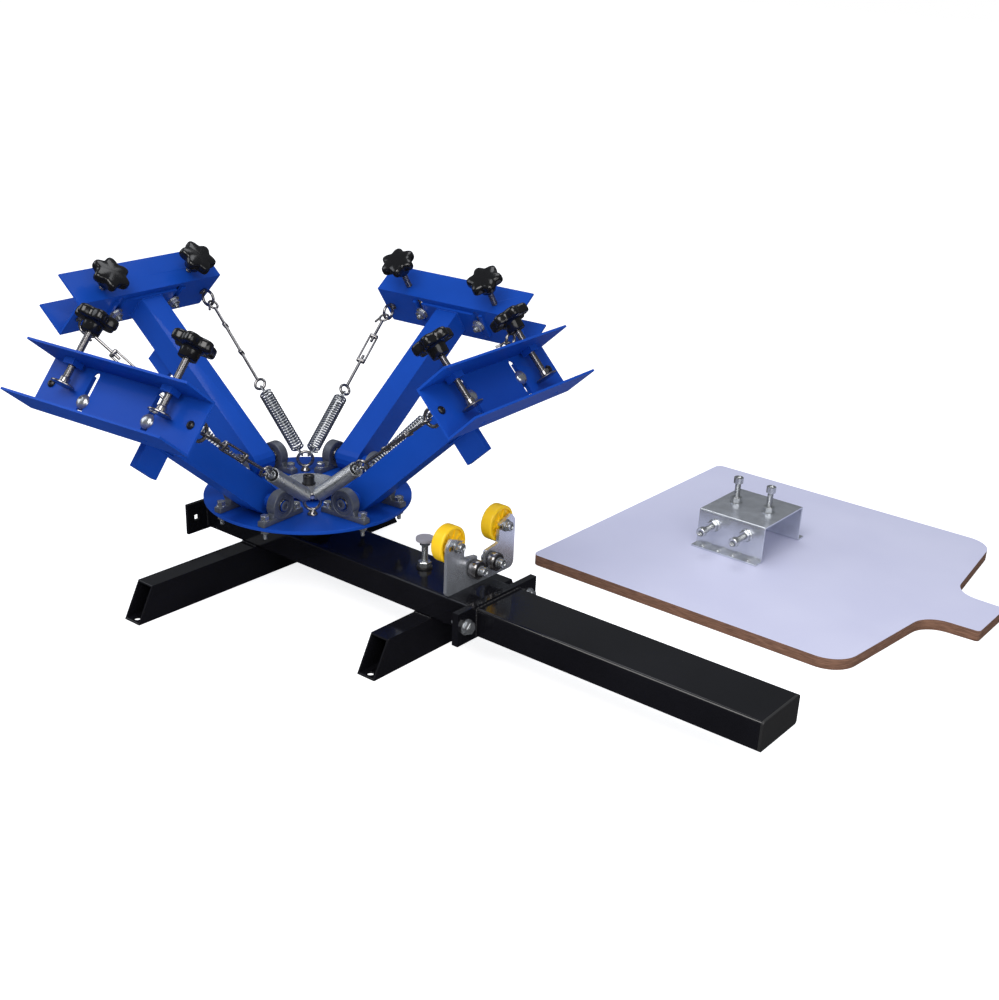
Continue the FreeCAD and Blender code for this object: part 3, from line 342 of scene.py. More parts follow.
def draw_up(height, radius, stations):
    """Extrude what is selected to each next (height, radius), then close the edit."""
    for next_height, next_radius in stations:
        step = (0, 0, next_height - height)
        bpy.ops.mesh.extrude_region_move(TRANSFORM_OT_translate={"value": step})
        if abs(next_radius - radius) > 1e-7:
            ratio = next_radius / radius
            bpy.ops.transform.resize(value=(ratio, ratio, 1),
                                     center_override=(0, 0, next_height))
        height, radius = next_height, next_radius
    leave_edit()


def leave_edit():
    """Turn every face outward and leave edit mode."""
    bpy.ops.mesh.select_all(action="SELECT")
    bpy.ops.mesh.normals_make_consistent(inside=False)
    bpy.ops.object.mode_set(mode="OBJECT")


def turned(name, stations, finish, sides=28, smooth=35):
    """A disc extruded and resized from one (height, radius) to the next, along Z."""
    deselect_all()
    height, radius = stations[0]
    bpy.ops.mesh.primitive_circle_add(vertices=sides, radius=radius, fill_type="NGON",
                                      location=(0, 0, height))
    bpy.ops.object.transform_apply(location=True)
    bpy.ops.object.mode_set(mode="EDIT")
    bpy.ops.mesh.select_all(action="SELECT")
    draw_up(height, radius, stations[1:])
    piece = start_piece(name, finish)
    bpy.ops.object.shade_smooth_by_angle(angle=math.radians(smooth))
    return piece


def hex_block(name, flats, tall, finish, chamfer=0.0006):
    """Hexagon nut or head, its corners taken off at both ends."""
    corner = flats / math.sqrt(3)
    return turned(name, [(0, corner - chamfer), (chamfer, corner), (tall - chamfer, corner),
                         (tall, corner - chamfer), (tall, corner * 0.62),
                         (tall + chamfer * 0.4, corner * 0.6)], finish, 6, 20)


def coil(name, radius, wire, length, turns, finish, sides=7, steps=16):
    """Wire wound round Z: a small ring of points carried along a screw line."""
    deselect_all()
    bpy.ops.mesh.primitive_circle_add(vertices=sides, radius=wire, location=(radius, 0, wire),
                                      rotation=(math.pi / 2, 0, 0))
    bpy.ops.object.transform_apply(location=True, rotation=True)
    wind = bpy.context.object.modifiers.new("wind", "SCREW")
    wind.axis = "Z"
    wind.angle = math.radians(360) * turns
    wind.screw_offset = length - 2 * wire
    wind.steps = steps * turns
    wind.render_steps = steps * turns
    wind.use_smooth_shade = True
    wound = apply_all(start_piece(name, finish))
    bpy.ops.object.mode_set(mode="EDIT")
    bpy.ops.mesh.select_all(action="SELECT")
    bpy.ops.mesh.fill_holes(sides=sides + 1)
    leave_edit()
    return wound


def threaded(name, radius, length, finish, pitch=0.0013, sides=16):
    """Bar with a rolled thread: a core with a three-sided ridge wound round it."""
    ridge = pitch * 0.52
    core = turned(name + "_core", [(0, radius - ridge), (length, radius - ridge)], finish, sides)
    turns = max(2, round(length / pitch))
    worm = coil(name + "_worm", radius - ridge, ridge, length, turns, finish, 3, 10)
    return join_pieces(name, [core, worm])


def join_pieces(name, pieces):
    deselect_all()
    for piece in pieces:
        piece.select_set(True)
    bpy.context.view_layer.objects.active = pieces[0]
    if len(pieces) > 1:
        bpy.ops.object.join()
    return named(bpy.context.object, name)


def copy_to(piece, place):
    """A further piece of the same form, with its own mesh, at another place."""
    twin = piece.copy()
    twin.data = piece.data.copy()
    bpy.context.scene.collection.objects.link(twin)
    twin.data.transform(place)
    return twin


def copies(name, model, places):
    """The same piece at several places, as one mesh."""
    return join_pieces(name, [copy_to(model, place) for place in places])


def spread(name, model, places):
    """As copies does, and then the model itself goes."""
    twins = copies(name, model, places)
    bpy.data.objects.remove(model)
    return twins


def lifted(piece, height):
    """Move a piece's mesh up along its own axis."""
    piece.data.transform(Matrix.Translation((0, 0, height)))
    return piece


def toward(point, z_way, x_way=(0.31, 0.57, 0.76)):
    """Place whose Z axis points along z_way."""
    z = Vector(z_way).normalized()
    x = Vector(x_way)
    x = (x - z * x.dot(z)).normalized()
    y = z.cross(x)
    return Matrix.Translation(Vector(point)) @ Matrix((x, y, z)).transposed().to_4x4()


ALONG_X = toward((0, 0, 0), (1, 0, 0), (0, 1, 0))


def along_x(x, y, z):
    return Matrix.Translation((x, y, z)) @ ALONG_X


web_face = 0.3005
slot_side = 0.056
bolt_level = {"arm1": 0.001, "arm2": 0.002, "arm3": -0.004, "arm4": -0.013}
carriage = join_pieces("carriage_bolt", [
    turned("bolt_dome", [(0, 0.0100), (0.0008, 0.0100), (0.0024, 0.0090), (0.0038, 0.0072),
                         (0.0048, 0.0048), (0.0053, 0.0018)], zinc_bolt, 32, 60),
    turned("bolt_washer", [(-0.0088, 0.0105), (-0.0073, 0.0105), (-0.0070, 0.0102)], zinc_bolt),
    lifted(hex_block("bolt_nut", 0.0145, 0.0072, zinc_bolt), -0.0156),
    lifted(threaded("bolt_end", 0.004, 0.008, zinc_bolt), -0.0205)])
for arm in arm_place:
    bolts = copies(arm + "_carriage_bolts", carriage, [
        arm_place[arm] @ along_x(web_face, side * slot_side, bolt_level[arm])
        for side in (-1, 1)])
    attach(bolts, arm)
bpy.data.objects.remove(carriage)

# Slots: the clamps are set up and down on their arms, so the web of each channel
# and the head plate behind it have matching slots, open to view beside the bolts.
# They are punched before the steel is folded and painted.
tool_sides = 24
half_facet = Matrix.Rotation(math.pi / tool_sides, 4, "Z")


def slot_cutter(name, finish, low, high, radius, low_end, high_end, axis=1):
    """A round cutter drawn out to a slot along one axis."""
    cutter = set_in(turned(name, [(low, radius), (high, radius)], finish, tool_sides), half_facet)
    for corner in cutter.data.vertices:
        corner.co[axis] += low_end if corner.co[axis] < 0 else high_end
    return cutter


def cut_away(piece, cutter):
    cut = piece.modifiers.new("cut", "BOOLEAN")
    cut.operation = "DIFFERENCE"
    cut.solver = "EXACT"
    cut.object = cutter


def recut(node_name, piece_name, cutters, edge):
    """A copy of a CAD node with its slots cut; the cutters go."""
    piece = named(copy_to(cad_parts[node_name], Matrix.Identity(4)), piece_name)
    piece.parent = None
    piece.modifiers.clear()
    weld_points(piece)
    for cutter in cutters:
        cut_away(piece, cutter)
    apply_all(piece)
    for cutter in cutters:
        bpy.data.objects.remove(cutter)
    soften_edges(piece, edge)
    return piece


slot_tool = slot_cutter("slot_tool", blue_coat, -0.012, 0.012, 0.0054, -0.0253, 0.0253)
plate_tool = slot_cutter("plate_tool", blue_coat, -0.009, -0.0005, 0.0058, -0.0118, 0.033)
for arm in arm_place:
    slot_spots = [arm_place[arm] @ along_x(web_face - 0.002, side * slot_side, -0.003)
                  for side in (-1, 1)]
    for node_name, piece_name, tool in ((arm + "_clamp", arm + "_folded_channel", slot_tool),
                                        (arm, arm + "_welded_arm", plate_tool)):
        piece = recut(node_name, piece_name, [copy_to(tool, spot) for spot in slot_spots], 0.0005)
        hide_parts(node_name)
        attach(piece, arm)
bpy.data.objects.remove(slot_tool)
bpy.data.objects.remove(plate_tool)

# Ring bolts of the clamps: one near each end of the web takes a spring chain.
# A closed ring of nickelled wire with a collar stands behind the web, and a
# black socket button screw holds it from the front.
def wire_ring(name, radius, wire, finish, steps=28, sides=10):
    deselect_all()
    bpy.ops.mesh.primitive_torus_add(major_radius=radius, minor_radius=wire,
                                     major_segments=steps, minor_segments=sides)
    ring = start_piece(name, finish)
    bpy.ops.object.shade_smooth()
    return ring


def cut_socket(piece, flats, deep, top):
    """Hexagon socket sunk from the top of a screw head that points along Z."""
    corner = flats / math.sqrt(3)
    cutter = turned("socket_cutter", [(top - deep, corner), (top + deep, corner)],
                    piece.data.materials[0], 6)
    cut_away(piece, cutter)
    apply_all(piece)
    bpy.data.objects.remove(cutter)
    return piece


ring_round = 0.0113
ring_wire = 0.0024
eye_out = 0.2825
eye_side = 0.121
eye_level = -0.002
eye_ring = wire_ring("eye_ring", ring_round, ring_wire, bright_steel, 36, 12)
eye_ring.data.transform(Matrix.Translation((eye_out, 0, eye_level))
                        @ Matrix.Rotation(math.radians(90), 4, "X"))
eye_collar = turned("eye_collar", [(0, 0.0055), (0.0010, 0.0065), (0.0022, 0.0065),
                                   (0.0030, 0.0046), (0.0046, 0.0040)], bright_steel, 24, 50)
eye_collar.data.transform(toward((eye_out + 0.015, 0, eye_level), (-1, 0, 0), (0, 1, 0)))
eye_bolt = join_pieces("eye_bolt", [eye_ring, eye_collar])
button = turned("button", [(0, 0.0057), (0.0009, 0.0057), (0.0021, 0.0049), (0.0030, 0.0036),
                           (0.0032, 0.0032)], screw_black, 24, 60)
cut_socket(button, 0.0035, 0.0016, 0.0032)
button.data.transform(along_x(web_face, 0, eye_level))
for arm in arm_place:
    spots = [arm_place[arm] @ Matrix.Translation((0, side * eye_side, 0)) for side in (-1, 1)]
    eyes = copies(arm + "_spring_eyes", eye_bolt, spots)
    buttons = copies(arm + "_button_screws", button, spots)
    for piece in (eyes, buttons):
        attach(piece, arm)
    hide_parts(arm + "_eye_bolts")
bpy.data.objects.remove(eye_bolt)
bpy.data.objects.remove(button)

# Clamp screws: a long threaded rod through a square nut welded under the top
# flange of each clamp, with a swivelling round foot that presses on the frame
# of the screen. Rolled and nickelled steel.
screw_out = 0.3165
screw_side = 0.084
knob_height = {"arm1": 0.072, "arm2": 0.078, "arm3": 0.058, "arm4": 0.084}
rod_low = -0.084
screw_rod = lifted(threaded("screw_rod", 0.0050, 0.0695, bright_steel, 0.0015, 20), rod_low)
screw_foot = lifted(turned("screw_foot", [
    (-0.0040, 0.0140), (-0.0036, 0.0150), (-0.0024, 0.0151), (-0.0016, 0.0144),
    (-0.0012, 0.0105), (-0.0006, 0.0074), (0, 0.0064), (0.0052, 0.0062), (0.0068, 0.0056)],
    bright_steel, 36, 40), rod_low)
clamp_screw = join_pieces("clamp_screw", [screw_rod, screw_foot])
screw_spots = {arm: [arm_place[arm] @ Matrix.Translation((screw_out, side * screw_side, height))
                     for side in (-1, 1)] for arm, height in knob_height.items()}
for arm, spots in screw_spots.items():
    screws = copies(arm + "_threaded_screws", clamp_screw, spots)
    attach(screws, arm)
    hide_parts(arm + "_clamp_screws")
bpy.data.objects.remove(clamp_screw)

# Star knobs: six rounded lobes with a crowned top and a round stem below, of
# gloss black moulded plastic on the threaded insert that holds the screw.
# The rounded edge is what catches the light.
deselect_all()
lobes = 6
lobe_steps = 12
bpy.ops.mesh.primitive_circle_add(vertices=lobes * lobe_steps, radius=0.0232, fill_type="NGON")
knob = start_piece("star_knob", knob_black)
for corner in knob.data.vertices:
    angle = math.atan2(corner.co.y, corner.co.x)
    wave = math.cos(lobes * angle)
    reach = 0.0236 + 0.0030 * (wave if wave > 0 else wave * 1.15)
    corner.co.x = reach * math.cos(angle)
    corner.co.y = reach * math.sin(angle)
bpy.ops.object.mode_set(mode="EDIT")
bpy.ops.mesh.select_all(action="SELECT")
draw_up(0.0, 1.0, ((0.0010, 1.045), (0.0030, 1.075), (0.0085, 1.075), (0.0115, 1.045),
                   (0.0132, 0.96), (0.0142, 0.80), (0.0146, 0.55), (0.0148, 0.25)))
bpy.ops.object.shade_smooth_by_angle(angle=math.radians(50))
knob_stem = turned("knob_stem", [(-0.0142, 0.0062), (-0.0142, 0.0112), (-0.0136, 0.0120),
                                 (-0.0040, 0.0127), (-0.0008, 0.0138), (0.0006, 0.0160)],
                   knob_black, 32, 50)
star_knob = join_pieces("star_knob_whole", [knob, knob_stem])
for arm, spots in screw_spots.items():
    knobs = copies(arm + "_star_knobs", star_knob, [
        spot @ Matrix.Rotation(math.radians(degrees), 4, "Z")
        for spot, degrees in zip(spots, (-5, 29))])
    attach(knobs, arm)
    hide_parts(arm + "_knobs")
bpy.data.objects.remove(star_knob)

# Pillow blocks: cast housings with a foot to each side, sand-blasted grey, each
# round a ball bearing with a dark seal and a steel inner ring, held down by
# two hexagon bolts with washers through the disc and nuts under it.
def rounded_box(name, size, middle, edge, rings, finish, taper=1, smooth=0):
    """A block with rounded edges, its top drawn in along X by the taper."""
    deselect_all()
    bpy.ops.mesh.primitive_cube_add(size=1, location=middle, scale=size)
    bpy.ops.object.transform_apply(location=True, scale=True)
    block = start_piece(name, finish)
    if taper != 1:
        bpy.ops.object.mode_set(mode="EDIT")
        bpy.ops.mesh.select_all(action="DESELECT")
        bpy.ops.object.mode_set(mode="OBJECT")
        for face in block.data.polygons:
            face.select = face.normal.z > 0.9
        bpy.ops.object.mode_set(mode="EDIT")
        bpy.ops.mesh.select_mode(type="FACE")
        bpy.ops.transform.resize(value=(taper, 1, 1), center_override=middle)
        bpy.ops.object.mode_set(mode="OBJECT")
    soften_edges(block, edge, rings=rings)
    apply_all(block)
    if smooth:
        bpy.ops.object.shade_smooth_by_angle(angle=math.radians(smooth))
    return block


block_side = 0.0407
bearing_place = toward((0, 0, pivot_high), (0, 1, 0), (1, 0, 0))
housing = turned("housing", [(-0.0060, 0.0163), (-0.0072, 0.0166), (-0.0075, 0.0170),
                             (-0.0075, 0.0194), (-0.0066, 0.0205), (0.0066, 0.0205),
                             (0.0075, 0.0194), (0.0075, 0.0170), (0.0072, 0.0166),
                             (0.0060, 0.0163)], casting, 40, 40)
housing.data.transform(bearing_place)
foot_lump = rounded_box("block_lump", (0.080, 0.0128, 0.0080), (0, 0, 0.0040), 0.0014, 3,
                        casting, 0.985, 40)
neck_lump = rounded_box("block_lump", (0.044, 0.0118, 0.0120), (0, 0, 0.0130), 0.0014, 3,
                        casting, 0.80, 40)
pillow = join_pieces("pillow", [housing, foot_lump, neck_lump])

race = turned("race", [(-0.0058, 0.0060), (-0.0058, 0.0162), (0.0058, 0.0162),
                       (0.0058, 0.0060)], seal_black, 40)
race_lips = []
for way in (-1, 1):
    for inner, outer, level, steel in ((0.0136, 0.0162, 0.0066, casting),
                                       (0.0108, 0.0113, 0.0061, dark_steel)):
        lip = turned("race_lip", [(0.0050, inner), (level, inner), (level, outer),
                                  (0.0050, outer)], steel, 40)
        if way < 0:
            lip.data.transform(Matrix.Rotation(math.pi, 4, "X"))
        race_lips.append(lip)
race_core = turned("race_core", [(-0.0074, 0.0078), (-0.0078, 0.0080), (-0.0078, 0.0090),
                                 (-0.0074, 0.0093), (0.0074, 0.0093), (0.0078, 0.0090),
                                 (0.0078, 0.0080), (0.0074, 0.0078)], dark_steel, 36, 40)
insert = set_in(join_pieces("insert", [race, race_core] + race_lips), bearing_place)

foot_bolt_side = 0.0315
foot_bolt_parts = []
for side in (-1, 1):
    head = lifted(hex_block("foot_head", 0.0110, 0.0062, zinc_bolt), 0.0096)
    head.data.transform(Matrix.Rotation(0.4 + side, 4, "Z"))
    nut = lifted(hex_block("foot_nut", 0.0110, 0.0056, zinc_bolt), -0.0108)
    nut.data.transform(Matrix.Rotation(0.2, 4, "Z"))
    bolt = join_pieces("foot_bolt", [
        turned("foot_washer", [(0.0080, 0.0068), (0.0093, 0.0068), (0.0096, 0.0064)], zinc_bolt),
        head, nut, lifted(threaded("foot_end", 0.0031, 0.0090, zinc_bolt, 0.0011, 12), -0.0195)])
    bolt.data.transform(Matrix.Translation((side * foot_bolt_side, 0, 0)))
    foot_bolt_parts.append(bolt)
foot_bolts = join_pieces("foot_bolts", foot_bolt_parts)
block_spots = [disc_place @ Matrix.Rotation(math.radians(quarter), 4, "Z")
               @ Matrix.Translation((pivot_out, side * block_side, 0))
               for quarter, lift in arm_pose.values() for side in (-1, 1)]
blocks = spread("block_castings", pillow, block_spots)
inserts = spread("sealed_bearings", insert, block_spots)
block_bolts = spread("block_bolts", foot_bolts, block_spots)
for piece in (blocks, inserts, block_bolts):
    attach(piece, "turntable")
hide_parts("pillow_blocks")
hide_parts("bearing_inserts")
pin_end = turned("pin_end", [(0.0002, 0.0036), (0.0005, 0.0034), (0.0012, 0.0040),
                             (0.0014, 0.0060), (0.0009, 0.0073), (0.0002, 0.0074)],
                 casting, 32, 40)
for arm in arm_place:
    ends = copies(arm + "_pin_ends", pin_end, [
        arm_place[arm] @ toward((0, side * 0.0497, 0), (0, side, 0), (1, 0, 0))
        for side in (-1, 1)])
    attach(ends, arm)
bpy.data.objects.remove(pin_end)

# Ring bolts of the disc: between each two arms one upright ring of thick
# nickelled wire on a domed collar takes the two springs of that corner, and
# its nut sits under the disc.
post_out = 0.088
post_high = 0.019
post_ring = wire_ring("post_ring", ring_round, ring_wire, bright_steel, 36, 12)
post_ring.data.transform(Matrix.Rotation(math.radians(90), 4, "Y"))
ring_bolt = join_pieces("ring_bolt", [
    lifted(post_ring, post_high),
    turned("post_collar", [(0, 0.0072), (0.0014, 0.0074), (0.0030, 0.0066), (0.0046, 0.0050),
                           (0.0066, 0.0042), (0.0084, 0.0036)], bright_steel, 28, 60),
    lifted(hex_block("post_nut", 0.013, 0.0062, zinc_bolt), -0.0114),
    lifted(threaded("post_end", 0.004, 0.0048, zinc_bolt), -0.0150)])
ring_bolts = spread("disc_spring_rings", ring_bolt, [
    disc_place @ Matrix.Rotation(math.radians(45 + 90 * k), 4, "Z")
    @ Matrix.Translation((post_out, 0, 0)) for k in range(4)])
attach(ring_bolts, "turntable")
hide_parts("disc_ring_bolts")

# Hub: a turned zinc-plated cap on its spacer closes the turntable's bearing,
# and one tall black socket screw in its middle holds the turntable down.
hub_plate = turned("hub_plate", [(0.0001, 0.0300), (0.0055, 0.0300), (0.0055, 0.0440),
                                 (0.0062, 0.0450), (0.0116, 0.0450), (0.0125, 0.0441),
                                 (0.0125, 0.0180), (0.0123, 0.0170)], zinc, 64)
hub_screw = turned("hub_screw", [(0.0123, 0.0100), (0.0136, 0.0100), (0.0138, 0.0096),
                                 (0.0138, 0.0084), (0.0250, 0.0084), (0.0256, 0.0078)],
                   screw_black, 36)
cut_socket(hub_screw, 0.009, 0.006, 0.0256)
for piece in (hub_plate, hub_screw):
    set_in(piece, disc_place)
    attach(piece, "turntable")
    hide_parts("hub_cap")

# Guide rollers: yellow nylon wheels with a smooth tread, a sunk web with
# stiffening ribs and a hub, one behind each ear of the registration gate.
gate_face = 0.3895
gate_middle = 0.02435
beam_top = 0.093
guide_side = 0.0515
guide_high = 0.068
tread = turned("tread", [(0.0032, 0.0212), (0.0004, 0.0214), (0, 0.0220), (0, 0.0246),
                         (0.0012, 0.0258), (0.0030, 0.0260), (0.0150, 0.0260),
                         (0.0168, 0.0258), (0.0180, 0.0246), (0.0180, 0.0220),
                         (0.0176, 0.0214), (0.0148, 0.0212)], roller_yellow, 56, 50)
wheel_hub = turned("wheel_hub", [(0.0012, 0.0052), (0.0004, 0.0060), (0.0004, 0.0092),
                                 (0.0010, 0.0098), (0.0170, 0.0098), (0.0176, 0.0092),
                                 (0.0176, 0.0060), (0.0168, 0.0052)], roller_yellow, 32, 50)
wheel_parts = [tread, wheel_hub]
for k in range(9):
    rib = rounded_box("wheel_rib", (0.0122, 0.0018, 0.0150), (0.0154, 0, 0.009), 0.0005, 2,
                      roller_yellow)
    rib.data.transform(Matrix.Rotation(math.radians(40 * k + 8), 4, "Z"))
    wheel_parts.append(rib)
roller = join_pieces("roller", wheel_parts)
for label, side in (("near", -1), ("far", 1)):
    spot = (gate_face - 0.0073, gate_middle + side * guide_side, beam_top + guide_high)
    wheel = named(copy_to(roller, toward(spot, (-1, 0, 0), (0, 1, 0))), "nylon_roller_" + label)
    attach(wheel, "guide_" + label)
    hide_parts("guide_roller_" + label)
bpy.data.objects.remove(roller)

# Gate plate: one folded and zinc-plated sheet. The slot for the near roller's
# bolt runs on outward past the bolt, so that the roller can be set, and the
# roller shows through it.
long_hole = slot_cutter("long_hole", zinc, -0.008, 0.004, 0.0040, -0.0135, 0.0, 0)
set_in(long_hole, along_x(gate_face, gate_middle - guide_side, beam_top + guide_high))
gate = recut("gate_plate", "slotted_gate", [long_hole], 0.0004)
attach(gate, "base")
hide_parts("gate_plate")

# Gate bearings: two ball bearings side by side in front of the gate, which the
# lowered arm's tab drops between. Ground steel rings with a dark shield.
bearing_side = 0.0191
bearing_high = 0.027
ball_bearing = join_pieces("ball_bearing", [
    turned("ball_outer", [(0.0010, 0.0108), (0, 0.0112), (0, 0.0124), (0.0006, 0.0130),
                          (0.0114, 0.0130), (0.0120, 0.0124), (0.0120, 0.0112),
                          (0.0110, 0.0108)], bright_steel, 44, 45),
    turned("ball_shield", [(0.0007, 0.0060), (0.0007, 0.0110), (0.0113, 0.0110),
                           (0.0113, 0.0060)], seal_black, 44),
    turned("ball_inner", [(-0.0018, 0.0052), (-0.0020, 0.0056), (-0.0020, 0.0062),
                          (0.0002, 0.0066), (0.0118, 0.0066), (0.0120, 0.0062),
                          (0.0120, 0.0052)], bright_steel, 32, 45)])
for label, side in (("near", -1), ("far", 1)):
    spot = along_x(gate_face + 0.0023, gate_middle + side * bearing_side, beam_top + bearing_high)
    ball = named(copy_to(ball_bearing, spot), "ball_bearing_" + label)
    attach(ball, "bearing_" + label)
    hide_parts("gate_bearing_" + label)
bpy.data.objects.remove(ball_bearing)

# Bolts of the gate: socket head screws with washers through rollers, gate and
# bearings, each with its nut behind. Zinc plated steel.
gate_screws = []
for side in (-1, 1):
    for kind, y, z, front, back, wide in (
            ("guide", guide_side, guide_high, gate_face, gate_face - 0.0256, 0.0088),
            ("bearing", bearing_side, bearing_high, gate_face + 0.0146, gate_face - 0.005,
             0.0072)):
        y = gate_middle + side * y
        z = beam_top + z
        head = turned("gate_head", [(0.0015, 0.0065), (0.0087, 0.0065), (0.0095, 0.0056)],
                      zinc_bolt, 32, 40)
        parts = [turned("gate_washer", [(0, wide), (0.0013, wide), (0.0015, wide - 0.0003)],
                        zinc_bolt, 32),
                 cut_socket(head, 0.006, 0.0044, 0.0095)]
        if kind == "guide":
            parts.append(lifted(hex_block("gate_front_nut", 0.013, 0.0050, zinc_bolt), 0.0014))
            parts[-1].data.transform(Matrix.Rotation(0.3 * side, 4, "Z"))
        screw = set_in(join_pieces("gate_screw", parts), along_x(front, y, z))
        nut = hex_block("gate_nut", 0.013, 0.0064, zinc_bolt)
        nut.data.transform(toward((back, y, z), (-1, 0, 0), (0, 1, 0.2)))
        tail = threaded("gate_tail", 0.0039, 0.0090, zinc_bolt)
        tail.data.transform(toward((back, y, z), (-1, 0, 0), (0, 1, 0)))
        stem = turned("gate_stem", [(0, 0.0039), (front - back, 0.0039)], zinc_bolt, 24)
        stem.data.transform(along_x(back, y, z))
        spacer = set_in(turned("gate_spacer", [(0, 0.0065), (0.002, 0.0065)], zinc_bolt),
                        along_x(gate_face - (0.007 if kind == "guide" else 0), y, z))
        gate_screws += [screw, nut, tail, stem, spacer]
gate_screw_set = join_pieces("gate_screws", gate_screws)
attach(gate_screw_set, "base")
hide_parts("gate_bolts")

# Stop: a zinc-plated bolt stands head up in the beam with a black washer and a
# lock nut, and its head carries a flat grey rubber pad for the lowered arm.
stop_bolt = join_pieces("stop_bolt", [
    turned("stop_washer", [(0, 0.0112), (0.0022, 0.0112), (0.0026, 0.0108)], seal_black, 32),
    lifted(hex_block("stop_nut", 0.017, 0.0074, zinc_bolt), 0.0026),
    lifted(threaded("stop_rod", 0.0050, 0.0272, zinc_bolt, 0.0015), 0.0084),
    turned("stop_head", [(0.0350, 0.0070), (0.0352, 0.0074), (0.0392, 0.0074),
                         (0.0400, 0.0090), (0.0408, 0.0090)], zinc_bolt, 32)])
rubber_pad = turned("rubber_pad", [(0.0410, 0.0120), (0.0413, 0.0128), (0.0422, 0.0130),
                                   (0.0452, 0.0130), (0.0459, 0.0127), (0.0460, 0.0120)],
                    pad_grey, 44, 50)
for piece, node_name in ((stop_bolt, "stop_screw"), (rubber_pad, "stop_pad")):
    piece.data.transform(Matrix.Translation((0.304, 0.005, beam_top)))
    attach(piece, "base")
    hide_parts(node_name)

# Flange bolts: two zinc-plated hexagon bolts with broad washers clamp the two
# halves of the beam together, their nuts on the rear side.
flange_front = 0.441
flange_back = 0.431
flange_parts = []
for side in (-1, 1):
    washer = turned("flange_washer", [(0, 0.0112), (0.0017, 0.0112), (0.0020, 0.0108)],
                    zinc_bolt, 32)
    head = lifted(hex_block("flange_head", 0.0160, 0.0066, zinc_bolt), 0.0020)
    head.data.transform(Matrix.Rotation(0.25, 4, "Z"))
    bolt = join_pieces("flange_bolt", [washer, head])
    bolt.data.transform(along_x(flange_front, side * 0.066, 0.074))
    nut = hex_block("flange_nut", 0.0160, 0.0078, zinc_bolt)
    tail = threaded("flange_tail", 0.0040, 0.0130, zinc_bolt)
    back = join_pieces("flange_back", [nut, tail])
    back.data.transform(toward((flange_back, side * 0.066, 0.074), (-1, 0, 0), (0, 1, 0)))
    flange_parts += [bolt, back]
flange_bolts = join_pieces("flange_bolts", flange_parts)
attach(flange_bolts, "base")
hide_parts("joint_bolts")

# Bracket: one sheet of zinc-plated steel, folded up, over and down again with
# a flange to each side, as wide as the beam it drops over and screwed to the
# board with round-head screws. Its two ends are open.
board_top = 0.017
gauge = 0.003
bracket_middle = Vector((0.508, 0.577, board_top))
deselect_all()
bpy.ops.mesh.primitive_plane_add(size=1, location=(0.508, 0.5035, board_top + gauge / 2))
bpy.context.object.scale = (0.120, 0.017, 1)
bpy.ops.object.transform_apply(location=True, scale=True)
folded = start_piece("folded_bracket", zinc)
bpy.ops.object.mode_set(mode="EDIT")
bpy.ops.mesh.select_mode(type="EDGE")
bpy.ops.mesh.select_all(action="DESELECT")
bpy.ops.object.mode_set(mode="OBJECT")
for line in folded.data.edges:
    line.select = all(folded.data.vertices[k].co.y > 0.51 for k in line.vertices)
bpy.ops.object.mode_set(mode="EDIT")
for step in ((0, gauge / 2, 0), (0, 0, 0.058), (0, 0.127, 0), (0, 0, -0.058), (0, 0.0185, 0)):
    bpy.ops.mesh.extrude_region_move(TRANSFORM_OT_translate={"value": step})
bpy.ops.mesh.select_all(action="SELECT")
bpy.ops.mesh.dissolve_limited(angle_limit=math.radians(1))
bpy.ops.object.mode_set(mode="OBJECT")
bend = folded.modifiers.new("bend", "BEVEL")
bend.width = 0.0024
bend.segments = 4
bend.limit_method = "ANGLE"
bend.angle_limit = math.radians(40)
thicken = folded.modifiers.new("sheet", "SOLIDIFY")
thicken.thickness = gauge
thicken.offset = 0
thicken.use_even_offset = True
thicken.use_quality_normals = True
apply_all(folded)
soften_edges(folded, 0.0004, 50)
bpy.ops.object.shade_smooth_by_angle(angle=math.radians(35))
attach(folded, "base")
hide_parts("board_bracket")
flange_screw = turned("flange_screw", [(0, 0.0056), (0.0008, 0.0056), (0.0020, 0.0046),
                                       (0.0027, 0.0024)], zinc_bolt, 24, 60)
cut_socket(flange_screw, 0.0022, 0.0012, 0.0027)
flange_screws = spread("bracket_flange_screws", flange_screw, [
    Matrix.Translation((0.466 + 0.028 * k, 0.577 + side * 0.0735, board_top + gauge))
    for k in range(4) for side in (-1, 1)])
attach(flange_screws, "base")

# Lock bolts of the bracket: two stout socket screws stand in its top and two
# come through its near wall, each with a flanged lock nut against the sheet,
# and press on the beam that the bracket is dropped over.
lock_head = turned("lock_head", [(0.0348, 0.0078), (0.0440, 0.0078), (0.0448, 0.0069)],
                   zinc_bolt, 32, 40)
lock_bolt = join_pieces("lock_bolt", [
    cut_socket(lock_head, 0.008, 0.0055, 0.0448),
    lifted(threaded("lock_shaft", 0.0050, 0.0540, zinc_bolt, 0.0015), -0.0180),
    turned("lock_flange", [(0, 0.0106), (0.0014, 0.0106), (0.0026, 0.0092)], zinc_bolt, 32),
    lifted(hex_block("lock_nut", 0.0165, 0.0085, zinc_bolt), 0.0020)])
lock_bolts = spread("bracket_lock_bolts", lock_bolt, [
    Matrix.Translation(bracket_middle + Vector((-0.030, 0, 0.061))),
    Matrix.Translation(bracket_middle + Vector((0.030, 0, 0.061))),
    toward(bracket_middle + Vector((-0.030, -0.065, 0.040)), (0, -1, 0), (1, 0, 0)),
    toward(bracket_middle + Vector((0.029, -0.065, 0.040)), (0, -1, 0), (1, 0, 0))])
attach(lock_bolts, "base")
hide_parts("bracket_bolts")

